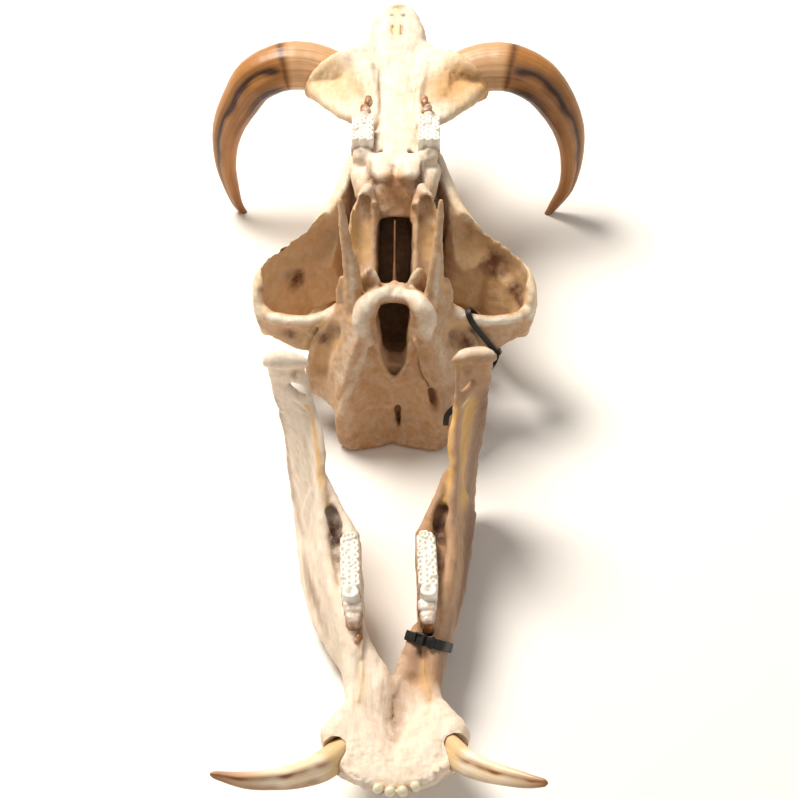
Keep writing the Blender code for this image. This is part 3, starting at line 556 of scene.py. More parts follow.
def occiput(clay):
    crest = cranium["crest"]
    addPlate(clay, [
        [(0, 6, 5, 5), (0, 19, 28, 5), (0, 25, 60, 5), (0, 30, 84, 5)],
        [(16, 1, 4, 5), (18, 15, 26, 5), (16, 22, 62, 5), (14, 29, 88, 5)],
        [(32, -2, 4, 5), (34, 7, 26, 5), (29, 16, 66, 4.5), (21, 27, 100, 5)],
        [(crest - 3, 1, 6, 4.5), (crest - 1, 4, 30, 4.5), (36, 12, 68, 4), (25, 20, 106, 4.5)]])
    addPlate(clay, [      # wing: a dish with a raised rim
        [(crest - 1, 8, 34, 4), (42, 10, 50, 4), (36, 14, 70, 4), (26, 24, 108, 5)],
        [(54, 24, 34, 4), (55, 34, 54, 4), (54, 40, 80, 4), (38, 44, 112, 5)],
        [(66, 32, 33, 4), (65, 38, 55, 4.5), (58, 38, 78, 4), (43, 44, 101, 4.5)]])
    addChain(clay, [(40, 46, 112, 4.4), (45, 44, 101, 4), (54, 43, 89, 3.6), (61, 42, 77, 3.4),
                    (65.5, 38, 62, 3.2), (66.5, 33, 46, 3)])
    addHull(clay, [(62, 44, 38, 5), (61, 52, 58, 6), (54, 54, 80, 6), (44, 55, 98, 6), (40, 62, 90, 8),
                   (40, 62, 50, 8), (50, 50, 40, 6)])


def condyles(clay):
    top = cranium["condyle"]
    addChain(clay, [(0, 42, top - 4.5, 5), (12, 40, top - 2.5, 6), (20, 31, top - 4, 8.8),
                    (24.5, 25.5, top - 12, 8.4), (22.5, 23, top - 23, 6.5), (16.5, 22.5, top - 33, 4)])
    addHull(clay, [(0, 46, top - 4, 5), (12, 48, top - 8, 6), (18, 46, top - 14, 9)])
    addHull(clay, [(17.5, 30, top - 12, 6), (17, 28, top - 28, 6), (14, 27, top - 40, 5),
                   (16, 44, top - 26, 8), (17, 44, top - 10, 6)])
    addHull(clay, [(5, 43, top + 0.5, 3.6), (5.5, 50, top - 3, 4)])         # knobs on the arch
    addHull(clay, [(0, 48, top + 0.5, 3), (0, 54, top - 4, 4)], (1,))
    addChain(clay, [(13, 23, top - 38, 4), (10.5, 20, top - 52, 3.4), (5.5, 17, top - 63, 3),
                    (1, 15, top - 68, 2.8)])


def paroccipitals(clay):
    addHull(clay, [(33, 36, 98, 9), (31, 40, 116, 6), (26, 38, 110, 6), (40, 46, 106, 6)])
    for side, lean in ((1, -2.5), (-1, 3.0)):
        addChain(clay, [(31, 41, 114, 8.5), (32, 48, 134, 6.2), (34 + 0.5 * lean, 56, 156, 4.8),
                        (36 + 0.8 * lean, 65, 180, 3.6), (37.5 + lean, 71, 197, 2.6)], (side,))
    addChain(clay, [(25, 38, 112, 4.5), (27.5, 45, 134, 3.4), (31, 54, 156, 3)])


def earRegion(clay):
    addHull(clay, [(17, 62, 118, 8), (19, 60, 136, 3), (14, 58, 124, 4), (24, 66, 116, 6)])
    addHull(clay, [(40, 48, 104, 6), (42, 49, 126, 3.2), (40, 50, 136, 2.4)])
    addHull(clay, [(36, 52, 106, 6), (37, 53, 126, 2.4), (40, 50, 136, 2.4)])


def pterygoids(clay):
    addHull(clay, [(21, 122, 164, 5), (31, 106, 150, 3.5), (32, 90, 134, 3.5), (27, 78, 120, 5),
                   (15, 112, 152, 3.5), (14.5, 92, 136, 3), (16, 72, 120, 4), (26, 122, 124, 9)])
    addChain(clay, [(21, 121, 164, 5), (28, 108, 162, 3.4), (33, 97, 146, 3), (33, 84, 130, 3)])
    addChain(clay, [(14.5, 114, 152, 3), (16, 108, 161, 2.4), (18, 105, 164, 2)])


def palateForms(clay):
    top = cranium["palate"]
    addHull(clay, [(7, 138, top - 4, 6), (16, 142, top - 5, 6), (8, 160, top - 5, 6),
                   (18, 160, top - 5, 6)])
    addHull(clay, [(24, 150, 150, 8), (25, 138, 144, 7), (22, 128, 152, 6), (30, 160, 150, 7)])
    addHull(clay, [(26, 164, 160, 8.5), (26, 200, 158, 7.5), (26, 216, 154, 6.5)])
    addChain(clay, [(20, 204, 160, 5), (18, 222, 154, 4.5), (18, 250, 150, 4), (24, 290, 150, 5)])


# the socket's mouth is slanted: its lip reaches out below and behind the tusk
def canineFlange(clay):
    ring = []
    steps = 18
    reach = upperTusk["thick"] - 1.5
    for step in range(steps):
        turn = math.tau * step / steps
        behind = 0.5 - 0.5 * math.cos(turn - math.radians(20.0))
        ring.append((cranium["flange"] - 34 + 32 * behind,
                     300 - 13 * (1.0 - behind) + reach * math.cos(turn),
                     138 + reach * math.sin(turn), 3.5))
    addHull(clay, ring + [(28, 290, 126, 22)])
    addHull(clay, [(20, 220, 148, 6), (37, 226, 148, 5), (55, 250, 143, 6), (68, 272, 139, 7),
                   (24, 290, 124, 18), (44, 290, 132, 14)])
    addHull(clay, [(16, 328, 134, 14), (38, 307, 140, 9), (24, 294, 128, 20)])
    addHull(clay, [(42, 306, 150, 6), (20, 316, 144, 6), (40, 262, 147, 5), (16, 270, 145, 5),
                   (30, 240, 146, 5)])


def cheek(clay):
    addPlate(clay, [
        [(37, 166, 138, 5), (44, 166, 110, 8), (46, 158, 70, 10)],
        [(48, 141, 131, 4.5), (55, 145, 100, 7), (58, 138, 60, 9)],
        [(64, 120, 121, 4.5), (69, 124, 94, 6.5), (73, 110, 50, 8)],
        [(81, 105, 120, 4.5), (85, 106, 92, 6), (85, 91, 46, 7)],
        [(96, 93, 113, 4.5), (99, 91, 88, 5.5), (95, 79, 52, 6)],
        [(105, 82, 107, 4.5), (106, 79, 88, 5), (101, 69, 62, 5.5)],
        [(107, 70, 99, 4.5), (106, 68, 84, 5), (101, 63, 70, 5)],
        [(105, 62, 87, 4.5), (104, 61, 80, 5), (99, 59, 72, 4.5)]])
    addHull(clay, [(37, 166, 138, 6), (48, 141, 131, 5), (42, 172, 100, 12), (46, 150, 60, 12),
                   (40, 140, 50, 12), (34, 192, 108, 12), (32, 186, 140, 6)])
    addHull(clay, [(48, 141, 131, 5), (64, 120, 121, 5), (46, 150, 60, 12), (60, 136, 60, 8),
                   (74, 112, 52, 8), (44, 118, 60, 10)])
    addHull(clay, [(48, 134, 40, 8), (60, 126, 34, 7), (61, 119, 42, 6), (46, 130, 62, 8),
                   (60, 130, 58, 8), (68, 124, 31, 6), (67, 116, 43, 5.5), (66, 128, 42, 6)])
    # the jaw joint: a bar that dips in its middle, and the plate under it
    addChain(clay, [(44, 50, 103, 6), (56, 48, 97, 5), (70, 48, 92.5, 5), (85, 51, 90.5, 5),
                    (97, 56, 88.5, 5), (104, 63, 90, 5)])
    addPlate(clay, [
        [(46, 52, 96, 5), (70, 51, 88, 5), (99, 58, 86, 5)],
        [(50, 54, 80, 4), (76, 54, 76, 4), (100, 59, 79, 4.5)],
        [(58, 54, 58, 4), (76, 54, 60, 4.5), (94, 57, 70, 4.5)]])


def eyeBrow(clay):
    addChain(clay, [(50, 136, 30, 7), (61, 122, 20, 6.5), (65, 103, 15, 6), (60, 86, 15, 6),
                    (50, 72, 14, 6)])
    addHull(clay, [(44, 132, 28, 8), (60, 120, 19, 6), (63, 98, 14, 5), (50, 74, 13, 6),
                   (34, 70, 14, 8), (30, 120, 26, 8)])
    addChain(clay, [(58, 85, 15, 5), (66, 81, 28, 4), (71, 80, 40, 3)])


def craniumCutters(clay):
    # temporal fossa, behind the cheek and open to the roof behind the eye
    addHull(clay, [(53, 123, 112, 8), (67, 108, 106, 9), (86, 94, 100, 9), (97, 80, 94, 7),
                   (94, 73, 86, 6.5), (56, 68, 92, 8), (58, 74, 60, 9), (74, 79, 74, 8),
                   (56, 120, 150, 10), (96, 88, 140, 10), (60, 70, 135, 10)])
    addHull(clay, [(58, 70, 52, 9), (57, 70, -12, 9)])
    addHull(clay, [(76, 106, 26, 10), (96, 104, 22, 15)])          # orbit
    # inner nostrils, the trough that leads into them, and the hollows beside it
    addHull(clay, [(side * x, y, z, size) for side in both for x, y, z, size in
                   ((8, 99, 144, 6.3), (8, 64, 126, 6.3), (7.5, 140, 116, 5), (7.5, 100, 90, 5))], (1,))
    addHull(clay, [(5, 126, 167, 5), (7, 112, 157, 7), (7, 90, 148, 7), (6, 130, 176, 6)])
    addHull(clay, [(24, 113, 161, 4.5), (25.5, 101, 152, 7.5), (26, 86, 140, 8), (25, 70, 126, 7.5),
                   (25, 94, 170, 9)])
    # foramen magnum, broad above and narrow below, and the brain's hollow
    addHull(clay, [(6.5, -5, 122, 6), (-9, -5, 122, 6), (3.7, -5, 102, 5), (-5.3, -5, 102, 5),
                   (2.8, -5, 80, 4), (-1.2, -5, 80, 4), (1.2, -5, 71.5, 3.2), (6.5, 60, 109, 6),
                   (-8.5, 60, 109, 6), (0, 60, 80, 8)], (1,))
    addHull(clay, [(0, 50, 84, 20), (0, 80, 70, 22)], (1,))
    addHull(clay, [(0, 406, 116, 12), (0, 326, 112, 12), (0, 406, 128, 8)], (1,))       # nose
    # holes in the palate and in the occiput
    addHull(clay, [(12, 173, 174, 2.6), (12, 167, 172, 2.6), (12, 163, 158, 2.4)])
    addHull(clay, [(4.6, 346, 157, 1.6), (4.4, 334, 157, 1.7), (4.2, 342, 143, 1.4)])
    addHull(clay, [(27, 2, 60, 1.6), (29.5, 2, 51, 3.6), (32, -2, 44, 3.9), (33, -4, 39, 2.4),
                   (29.5, 13.5, 53, 2.4), (31, 11.5, 44, 2.4)], (1,))
    addHull(clay, [(2, 2, 30, 1.6), (3.2, 2, 23, 2.3), (4.8, 0, 14, 1.6), (2, 19.5, 30, 1.4),
                   (4, 14, 16, 1.4)], (1,))


# the thin upright bone between the inner nostrils
def vomer(clay):
    addPlate(clay, [[(0, 103, 145, 1), (0, 80, 134, 0.8), (0, 60, 122, 1.6)],
                    [(0, 124, 130, 0.8), (0, 100, 118, 0.8), (0, 78, 104, 1)],
                    [(0, 146, 112, 1), (0, 122, 98, 1), (0, 98, 84, 1)]], (1,))


# one bone, from its lumps and hollows to its paint and place
def buildBone(name, node, look, forms, cutters, strokes, sockets, paint, place, material):
    clay = bmesh.new()
    for form in forms:
        form(clay)
    piece = makeObject(name, clay)
    remeshClay(piece, look["voxel"])
    tools = bmesh.new()
    cutters(tools)
    cutter = makeObject(name + "Cutter", tools)
    remeshClay(cutter, look["voxel"])
    cutClay(piece, cutter)
    remeshClay(piece, look["voxel"])
    smoothClay(piece, look["smooth"])
    keepLargest(piece)
    carve(piece, strokes)
    for patch in look["rough"]:
        roughen(piece, *patch)
    for side in both:
        for socket in sockets:
            cutClay(piece, socket(side))
    keepLargest(piece)
    thinOut(piece, look["faces"])
    paint(piece)
    place(piece)
    levelFoot(piece)
    finishSkin(piece, material)
    takePlace(piece, node)
    return piece


# tusks: a grid rolled up along a curve of (x, y, z, radius), so its UV runs round (U) and along (V)

# reach and tip are in mm, groove is an angle round the tusk, socket the gap round it in its bone
upperTusk = {"thick": 22.0, "reach": {1: 151.0, -1: 148.5}, "tip": {1: 19.0, -1: 14.5},
             "groove": 308.0, "socket": 1.0, "around": 96, "along": 240}
lowerTusk = {"face": {1: 0.3, -1: 0.6}, "socket": 0.6, "around": 64, "along": 150}


# section gives (out, rise) in mm for a share along the path and a turn round it
def sweepTube(name, path, section, around, along, hint, grow=0.0, closed=False):
    spots = [Vector(point[:3]) for point in path]
    bm = bmesh.new()
    bm.loops.layers.uv.new("UVMap")
    bmesh.ops.create_grid(bm, x_segments=around, y_segments=along, size=1.0, calc_uvs=True)
    for vert in bm.verts:
        turn = (vert.co.x + 1.0) * math.pi
        share = (vert.co.y + 1.0) / 2
        place = share * (len(spots) - 1)
        index = min(int(place), len(spots) - 2)
        if closed:
            before, after = spots[index - 1 if index else -2], spots[(index + 2) % (len(spots) - 1)]
        else:
            before, after = spots[max(index - 1, 0)], spots[min(index + 2, len(spots) - 1)]
        here = spots[index].lerp(spots[index + 1], place - index)
        radius = path[index][3] + (path[index + 1][3] - path[index][3]) * (place - index)
        back = (spots[index + 1] - before).normalized()
        ahead = back.lerp((after - spots[index]).normalized(), place - index).normalized()
        across = ahead.cross(hint).normalized()
        upward = across.cross(ahead).normalized()
        if share == 0.0 and not closed:
            here = here - ahead * grow
        out, rise = section(share, turn, radius)
        size = math.hypot(out, rise)
        swell = (size + grow) / size if size else 1.0
        vert.co = (here + across * out * swell + upward * rise * swell) * mm
    bmesh.ops.remove_doubles(bm, verts=bm.verts[:], dist=0.002 * mm)
    if not closed:
        bmesh.ops.holes_fill(bm, edges=[edge for edge in bm.edges if edge.is_boundary], sides=0)
    bmesh.ops.recalc_face_normals(bm, faces=bm.faces[:])
    return makeObject(name, bm)


def upperTuskPath(side):
    reach, thick, tip = upperTusk["reach"][side], upperTusk["thick"], upperTusk["tip"][side]
    points = [(34, 291, 128, 0.95), (56, 298, 136, 0.98), (76, 303, 140, 1.0), (97, 301.5, 140, 0.99),
              (119, 297.5, 130, 0.94), (reach - 17, 294, 112, 0.84), (reach - 6, 289, 91, 0.71),
              (reach - 1, 285, 70, 0.57), (reach - 0.5, 281, 48, 0.44), (reach - 4, 278, 27, 0.33),
              (reach - tip + 6, 276, 9, 0.22), (reach - tip, 275, -2, 0.12)]
    return refine([(side * x, y, z, thick * share) for x, y, z, share in points], 4)


# two lobes with a groove between them, on the side that looks towards the jaw
def upperTuskSection(share, turn, radius, side):
    face = turn if side > 0 else math.pi - turn
    outOfGum = min(1.0, max(0.0, share - 0.24) * 9)
    groove = 0.17 * max(0.0, math.cos(face - math.radians(upperTusk["groove"]))) ** 12 * outOfGum
    ridges = 0.006 * math.sin(face * 23.0) + 0.007 * math.sin(face * 9.0 + 2.0 * share)
    rings = 0.006 * math.sin(share * 90.0) * math.sin(share * 37.0)
    radius *= (1.0 - groove + ridges + rings) * (1.0 - 0.10 * abs(math.cos(turn)))
    return radius * math.cos(turn), radius * math.sin(turn)


def makeUpperTusk(side, grow=0.0, name="tusk"):
    return sweepTube(name, upperTuskPath(side), partial(upperTuskSection, side=side),
                     upperTusk["around"], upperTusk["along"], Vector((0.0, 1.0, 0.0)), grow)


# the left one is long and sharp, the right one shorter and worn blunt
def lowerTuskPath(side):
    outer = {1: [(46, -333, 57, 8.8), (58, -343, 61.5, 7.7), (72, -352, 67, 6.3), (87, -360, 72.5, 4.7),
                 (99, -365, 77, 2.2)],
             -1: [(49, -333, 56, 9.6), (64, -343, 61.5, 8.4), (80, -350, 67.5, 6.8),
                  (99, -355, 75, 5.3), (121, -354.5, 82, 2.0)]}
    points = [(28, -303, 38, 9.0), (37, -318, 49, 9.4)] + outer[side]
    return refine([(side * x, y, z, radius) for x, y, z, radius in points], 5)


# three-sided, with fine ridges along it
def lowerTuskSection(share, turn, radius):
    if share > 0.97:
        radius *= math.sqrt(max(0.15, 1.0 - ((share - 0.97) / 0.03) ** 2))
    radius *= 1.0 + 0.13 * math.cos(3.0 * turn + 0.6) + 0.008 * math.sin(turn * 17.0)
    return radius * math.cos(turn), radius * math.sin(turn)


def makeLowerTusk(side, grow=0.0, name="tusk"):
    return sweepTube(name, lowerTuskPath(side), lowerTuskSection, lowerTusk["around"],
                     lowerTusk["along"], Vector((0.0, 0.0, 1.0)), grow)


# the mouth of a lower tusk's socket, wider than the tusk above and outside it
def socketMouth(side):
    clay = bmesh.new()
    addHull(clay, [(33, -312, 46, 8.5), (42, -321, 55, 10), (56, -334, 62, 12)], (side,))
    piece = makeObject("socketMouth", clay)
    remeshClay(piece, 1.2)
    return piece


# share along the tusk's middle line and turn round it of each point, the turn as in the section
def tuskTurns(places, path, side, hint):
    spots = np.array([point[:3] for point in refine(path, 6)])
    nearest = np.argmin(np.linalg.norm(places[:, None] - spots[None], axis=2), axis=1)
    ahead = np.gradient(spots, axis=0)
    across = np.cross(ahead, hint)
    across /= np.linalg.norm(across, axis=1)[:, None]
    upward = np.cross(across, ahead)
    upward /= np.linalg.norm(upward, axis=1)[:, None]
    away = places - spots[nearest]
    turn = np.arctan2(np.sum(away * upward[nearest], axis=1), np.sum(away * across[nearest], axis=1))
    onward = np.sum(away * ahead[nearest], axis=1) / np.sum(ahead[nearest] ** 2, axis=1)
    share = (nearest + np.clip(onward, -0.5, 0.5)) / (len(spots) - 1)
    return share, turn if side > 0 else math.pi - turn


# a soft streak along a tusk at one angle (degrees), wide in radians
def turnStreak(turn, angle, wide):
    off = (turn - math.radians(angle) + math.pi) % math.tau - math.pi
    return np.exp(-(off / wide) ** 2)


# dark groove, painted shade on the inner bend, and the edge of the gum line of an upper tusk
def upperTuskStain(places, side):
    share, turn = tuskTurns(places, upperTuskPath(side), side, (0.0, 1.0, 0.0))
    wave = 0.06 * np.sin(share * 31.0) + 0.04 * np.sin(share * 67.0 + 1.0)
    long = ramp(share, 0.25, 0.3) * ramp(share, 0.86, 0.66)
    groove = 0.65 * turnStreak(turn + wave, 305.0, 0.34) + 0.5 * turnStreak(turn + wave, 306.0, 0.13)
    groove = groove * long * (0.85 + 2.0 * wave)
    bend = 0.95 * turnStreak(turn + wave, 240.0, 0.45) * long * ramp(share, 0.64, 0.36)
    lip = 0.6 * np.exp(-((share - 0.262 - 0.03 * wave) / 0.008) ** 2)
    return np.maximum(np.maximum(groove, bend), lip)


# browned upper edge and lower face of a lower tusk
def lowerTuskStain(places, side):
    share, turn = tuskTurns(places, lowerTuskPath(side), side, (0.0, 0.0, 1.0))
    wave = 0.12 * np.sin(share * 23.0) + 0.06 * np.sin(share * 51.0 + 1.0)
    long = ramp(share, 0.3, 0.42)
    edge = (0.62 + 1.6 * wave) * turnStreak(turn + 0.5 * wave, 62.0, 0.24) * long
    face = lowerTusk["face"][side] * turnStreak(turn + wave, -28.0, 0.5) * long
    return np.maximum(edge, face)


def finishTusk(piece, stain, material, node, place):
    setAttributes(piece, stain=stain)
    place(piece)
    levelFoot(piece)
    finishSkin(piece, material, 60.0)
    takePlace(piece, node)


# cranium, carved and painted

def craniumStrokes():
    return [
        # seams and cracks (path, radius, height, sides)
        ([(17.7, 19.6, 85), (18.6, 18, 75), (21.7, 14.5, 66), (25.4, 12, 62), (28, 9.6, 55),
          (29.7, 7.8, 49)], 1.3, -2.4, (1,)),
        ([(29, 20.5, 111), (32.2, 17.5, 97.5), (36, 18.7, 91), (42.5, 21, 81)], 0.9, -0.8, (1,)),
        ([(82, 57, 101), (91, 55, 98.5)], 1.0, -1.2, (1,)),
        # side ridges of the occiput's plate, and its hollow middle
        ([(17, 19, 101), (24, 15.8, 83), (31, 10, 66), (37.4, 4.8, 51), (41, 2.6, 39)], 3.4, 2.8, both),
        ([(8, 24, 84), (10, 20, 55), (8, 12, 28)], 13.0, -1.6, both),
        ([(0, 26, 84), (0, 21, 50), (0, 13, 26)], 2.6, 0.9, (1,)),
        # wings
        ([(46, 34, 94), (53, 34, 76), (55, 31, 56)], 12.0, -4.5, both),
        # snout: seam, rings, slots, ripples
        ([(-2, 339, 151), (-1.5, 350, 151), (-3, 372, 150)], 0.9, -1.0, (1,)),
        ([(5, 361, 150)], 3.6, -1.1, both), ([(5, 361, 150)], 1.6, 1.3, both),
        ([(4, 345, 151), (3.6, 334, 151)], 2.1, -2.6, both),
        ([(16, 285, 150), (17, 265, 151), (18.4, 247, 153.5)], 2.0, 0.9, both),
        ([(-4, 320, 151), (4, 314, 151)], 1.6, 0.7, both),
        ([(-6, 309, 151), (5, 305, 151)], 1.6, 0.6, both),
        ([(0, 170, 166), (0, 230, 158), (0, 300, 151)], 1.0, -0.8, (1,)),
        ([(0, 146, 166), (0, 140, 166)], 4.0, -2.6, (1,)),
        # pits behind the molars
        ([(28, 160.5, 170), (24, 152, 167), (20.5, 138, 160)], 4.6, -3.0, both),
    ]


# fade 0 paints the whole piece as shade, for bone deep in the nose: no pale tone, all brown
def craniumAttributes(piece, fade=1.0):
    places, ways = readSkin(piece)
    x, y, z = places.T
    # painted light: faces turned up on the snout are paler, as the light falls on them
    up = np.clip(ways[:, 2], 0.0, 1.0)
    snout = ramp(y, 125.0, 150.0)
    rim = [(40, 153, 142), (48, 141, 135), (60, 125, 125), (71, 116, 124), (81, 105, 124),
           (96, 93, 117), (105, 82, 111), (109, 70, 103), (106, 61, 90)]
    bar = [(46, 47, 104), (58, 45, 100), (70, 45, 96), (85, 48, 94), (97, 53, 92)]
    # painted light: the left cheek is paler than the right, as the light falls from the left
    cheeks = ramp(y, 56.0, 66.0) * ramp(np.abs(x), 40.0, 50.0)
    bleach = np.clip(0.2 + (0.16 + 0.12 * (x < 0)) * cheeks + snout * (0.3 + 0.4 * up), 0.0, 1.0)
    # painted light: paler where light catches the condyles, palate, cheek rims, joint bars, spikes and
    # ridges
    bleach = np.maximum(bleach, paintSpots(places, [
        ([(0, 40, 134), (12, 38, 134), (20, 30, 132), (26, 24, 122), (25, 18, 112)], 13.0, 1.0, both),
        ([(12, 138, 168), (14, 165, 170)], 12.0, 1.0, both), (rim, 11.0, 1.0, both),
        (bar, 6.5, 1.0, both),
        ([(31, 36, 118), (32, 42, 136), (34, 50, 158), (37, 60, 190)], 4.0, 0.75, both),
        ([(17, 60, 132), (14, 58, 124)], 9.0, 0.9, both),
        ([(21, 121, 166), (28, 110, 164)], 8.0, 0.7, both),
        ([(54, 45, 98), (65, 50, 76), (72, 52, 61)], 4.0, 1.0, both),
        ([(98, 84, 108), (104, 72, 98)], 12.0, 0.5, both),
        ([(18, 17, 103), (25, 15, 82), (31, 9, 66), (37, 4, 51), (41, 2, 39)], 8.0, 0.6, (-1,)),
        ([(30, 24, 104), (34, 18, 84), (40, 14, 62)], 15.0, 0.45, both),
        ([(90, 92, 104), (80, 104, 108), (100, 78, 92)], 17.0, 0.65, (-1,)),
        ([(96, 84, 98), (88, 98, 106)], 14.0, 0.4, (1,))]))
    # painted shade on the backs of the tusk flanges, turned from the light, the right one darker
    flange = [(72, 279, 140), (52, 277, 147), (40, 258, 148)]
    bleach *= 1.0 - paintSpots(places, [(flange, 30.0, 0.5, (-1,)), (flange, 32.0, 1.0, (1,))])
    # gold tint on the cheeks, and painted highlight along lit rims, ridges and the flanges
    gold = np.maximum(0.42 * cheeks, paintSpots(places, [
        ([(54, 44, 98), (65, 48, 76), (71, 50, 61)], 5.0, 0.8, both),
        ([(46, 34, 94), (54, 36, 76), (56, 34, 50)], 15.0, 0.35, both),
        ([(40, 44, 112), (48, 43, 96)], 5.0, 0.6, both),
        ([(33, 97, 146), (33, 84, 130), (28, 108, 160)], 9.0, 0.75, both),
        ([(24, 100, 140), (24, 84, 128)], 9.0, 0.7, both),
        ([(40, 47, 130), (36, 46, 138)], 4.0, 0.6, both),
        ([(0, 376, 150), (-1, 350, 151), (0, 332, 151)], 9.0, 0.45, (1,)),
        (flange, 26.0, 0.4, both)]))
    # darker towards the floor; painted shade on the palate's rear edge and deep in the temporal fossae
    earth = np.maximum(np.minimum(ramp(z, 26.0, -34.0), 0.5), paintSpots(places, [
        ([(0, 124, 160), (0, 112, 156), (0, 104, 152)], 17.0, 1.0, (1,)),
        ([(60, 70, 60), (52, 90, 70)], 20.0, 0.5, both)]))
    stain = paintSpots(places, [
        ([(77.8, 108, 98)], 19.0, 1.0, (1,)), ([(95, 90, 88), (104, 78, 84)], 12.0, 0.75, (1,)),
        ([(81.3, 103, 84)], 14.0, 0.9, (-1,)), ([(82, 52, 77)], 11.0, 0.9, (-1,)),
        ([(103.5, 69, 104)], 6.0, 0.5, (-1,)),
        ([(56, 34.5, 81.7), (48, 33.6, 94)], 10.0, 0.85, (-1,)),
        ([(49.4, 32.7, 90), (57, 40, 76.5)], 11.0, 1.0, (1,)),
        ([(18, 105, 148.5)], 6.0, 0.75, both),
        ([(28, 160, 170), (21, 143, 163), (20, 130, 156)], 7.0, 0.75, both),
        # painted shade at the mouths of the occiput's holes
        ([(30, 6, 56), (31, 4, 40)], 6.5, 0.9, (1,)), ([(36, 8, 30)], 9.0, 0.4, (1,)),
        ([(2.7, 9, 22)], 4.0, 0.7, (1,)),
        ([(5, 361, 150)], 3.5, 0.75, both), ([(0, 376, 146)], 10.0, 0.5, (1,)),
        ([(66, 279, 147), (50, 280, 151)], 9.0, 0.45, (1,))])
    # painted shade deep in the braincase, the occiput's holes and the inner nostrils
    dark = paintSpots(places, [([(0, 24, 112), (0, 30, 92), (0, 60, 80)], 22.0, 1.0, (1,)),
                               ([(29.5, 13, 53), (31, 11, 44)], 3.4, 1.0, (1,)),
                               ([(2.5, 18, 29), (3.8, 13, 17)], 3.0, 1.0, (1,)),
                               ([(8, 110, 135), (8, 90, 125)], 12.0, 0.8, both)])
    shut = hollowness(piece, 26.0)
    shadow = paintSpots(places, [([(0, 130, 161), (0, 118, 158), (0, 106, 152)], 18.0, 0.95, (1,))])
    bleach *= 1.0 - shadow
    # painted shade in the hollows: less pale tone and a dark brown where the skin is shut in
    setAttributes(piece, bleach=fade * bleach * np.clip(1.35 - 1.3 * shut, 0.0, 1.0), gold=gold,
                  earth=np.maximum(earth, 1.0 - fade), stain=np.maximum(stain, 0.6 * (1.0 - fade)),
                  hollow=np.maximum(shut * 0.85, dark * np.clip(2.6 * shut, 0.0, 1.0)))


def buildVomer(material):
    clay = bmesh.new()
    vomer(clay)
    piece = makeObject("vomerBone", clay)
    remeshClay(piece, 0.5)
    smoothClay(piece, 2)
    # painted shade: the vomer sits deep in the nose and is painted all dark
    craniumAttributes(piece, 0.0)
    placeCranium(piece)
    finishSkin(piece, material)
    takePlace(piece, "cranium")


def buildCranium():
    material = dryBoneMaterial("Dry bone, sun-bleached on top", cranium["tones"])
    forms = (craniumBody, occiput, condyles, paroccipitals, earRegion, pterygoids, palateForms,
             canineFlange, cheek, eyeBrow)
    piece = buildBone("craniumBone", "cranium", cranium, forms, craniumCutters, craniumStrokes(),
                      (partial(makeUpperTusk, grow=upperTusk["socket"]),), craniumAttributes,
                      placeCranium, material)
    buildVomer(material)
    return piece


# teeth: blocks of enamel columns, worn flat

# small: the worn teeth in front of the molars, each a hull of balls and the sides that have it
upperTeeth = {"rear": 167.0, "front": 197.0, "inner": 17.5, "outer": 35.0, "crown": 175.0,
              "base": 156.0, "rows": 5, "rings": (2.7, 3.0), "lobe": 0.0, "wornTop": 164.0,
              "small": (([(23, 206, 162, 4), (29, 206, 162, 4), (26, 213, 161, 4.5),
                          (26, 208, 152, 6)], both),
                        ([(24, 222, 158, 4), (26, 228, 157, 3.6), (24, 224, 150, 5)], both),
                        ([(23, 237, 155, 3.4), (23, 243, 154.5, 3), (23, 239, 148, 4)], both))}
lowerTeeth = {"rear": -150.5, "front": -199.0, "inner": 20.5, "outer": 34.5, "crown": 77.0,
              "base": 62.0, "rows": 8, "rings": (2.5, 3.3), "lobe": 11.0, "wornTop": 69.0,
              "small": (([(22.5, -209, 68, 3.2), (30, -209, 69, 3.2), (22.5, -213, 67.5, 3.2),
                          (29.5, -213.5, 68, 3.2), (26, -211, 56, 7)], both),
                        ([(23, -218, 66, 3), (29, -218, 67, 3), (24, -222, 65.5, 2.8),
                          (28, -222, 66, 2.8), (26, -220, 56, 6)], both),
                        ([(23, -229, 57.5, 2.8), (24.5, -232, 57, 2.4), (23.5, -230, 50, 3)], (-1,)))}


# columns (x, y, radius across, radius along) of one molar, three to a row, with rounded ends
def columnPlaces(teeth):
    way = 1 if teeth["front"] > teeth["rear"] else -1
    length = abs(teeth["front"] - teeth["rear"])
    middle = 0.5 * (teeth["inner"] + teeth["outer"])
    half = 0.5 * (teeth["outer"] - teeth["inner"])
    across, along = teeth["rings"]
    found = []
    for row in range(teeth["rows"]):
        share = (row + 0.5) / teeth["rows"]
        pinch = (0.6, 0.88)[row] if row < 2 and teeth["lobe"] else 1.0
        for column in (-1, 0, 1):
            y = teeth["rear"] + way * (length * share + 0.7 * math.sin(2.6 * row + 1.9 * column)
                                       + (1.6 if column == 0 and row else 0.0))
            x = middle + column * (half - across) * pinch
            found.append((x, y, across * (1.0 + 0.08 * math.sin(3.1 * row + column)),
                          along * (1.0 + 0.1 * math.cos(2.3 * row + 2.0 * column))))
    if teeth["lobe"]:
        found.append((middle, teeth["front"] + way * (teeth["lobe"] * 0.5 - 1.0), half * 0.86,
                      teeth["lobe"] * 0.52))
    return found


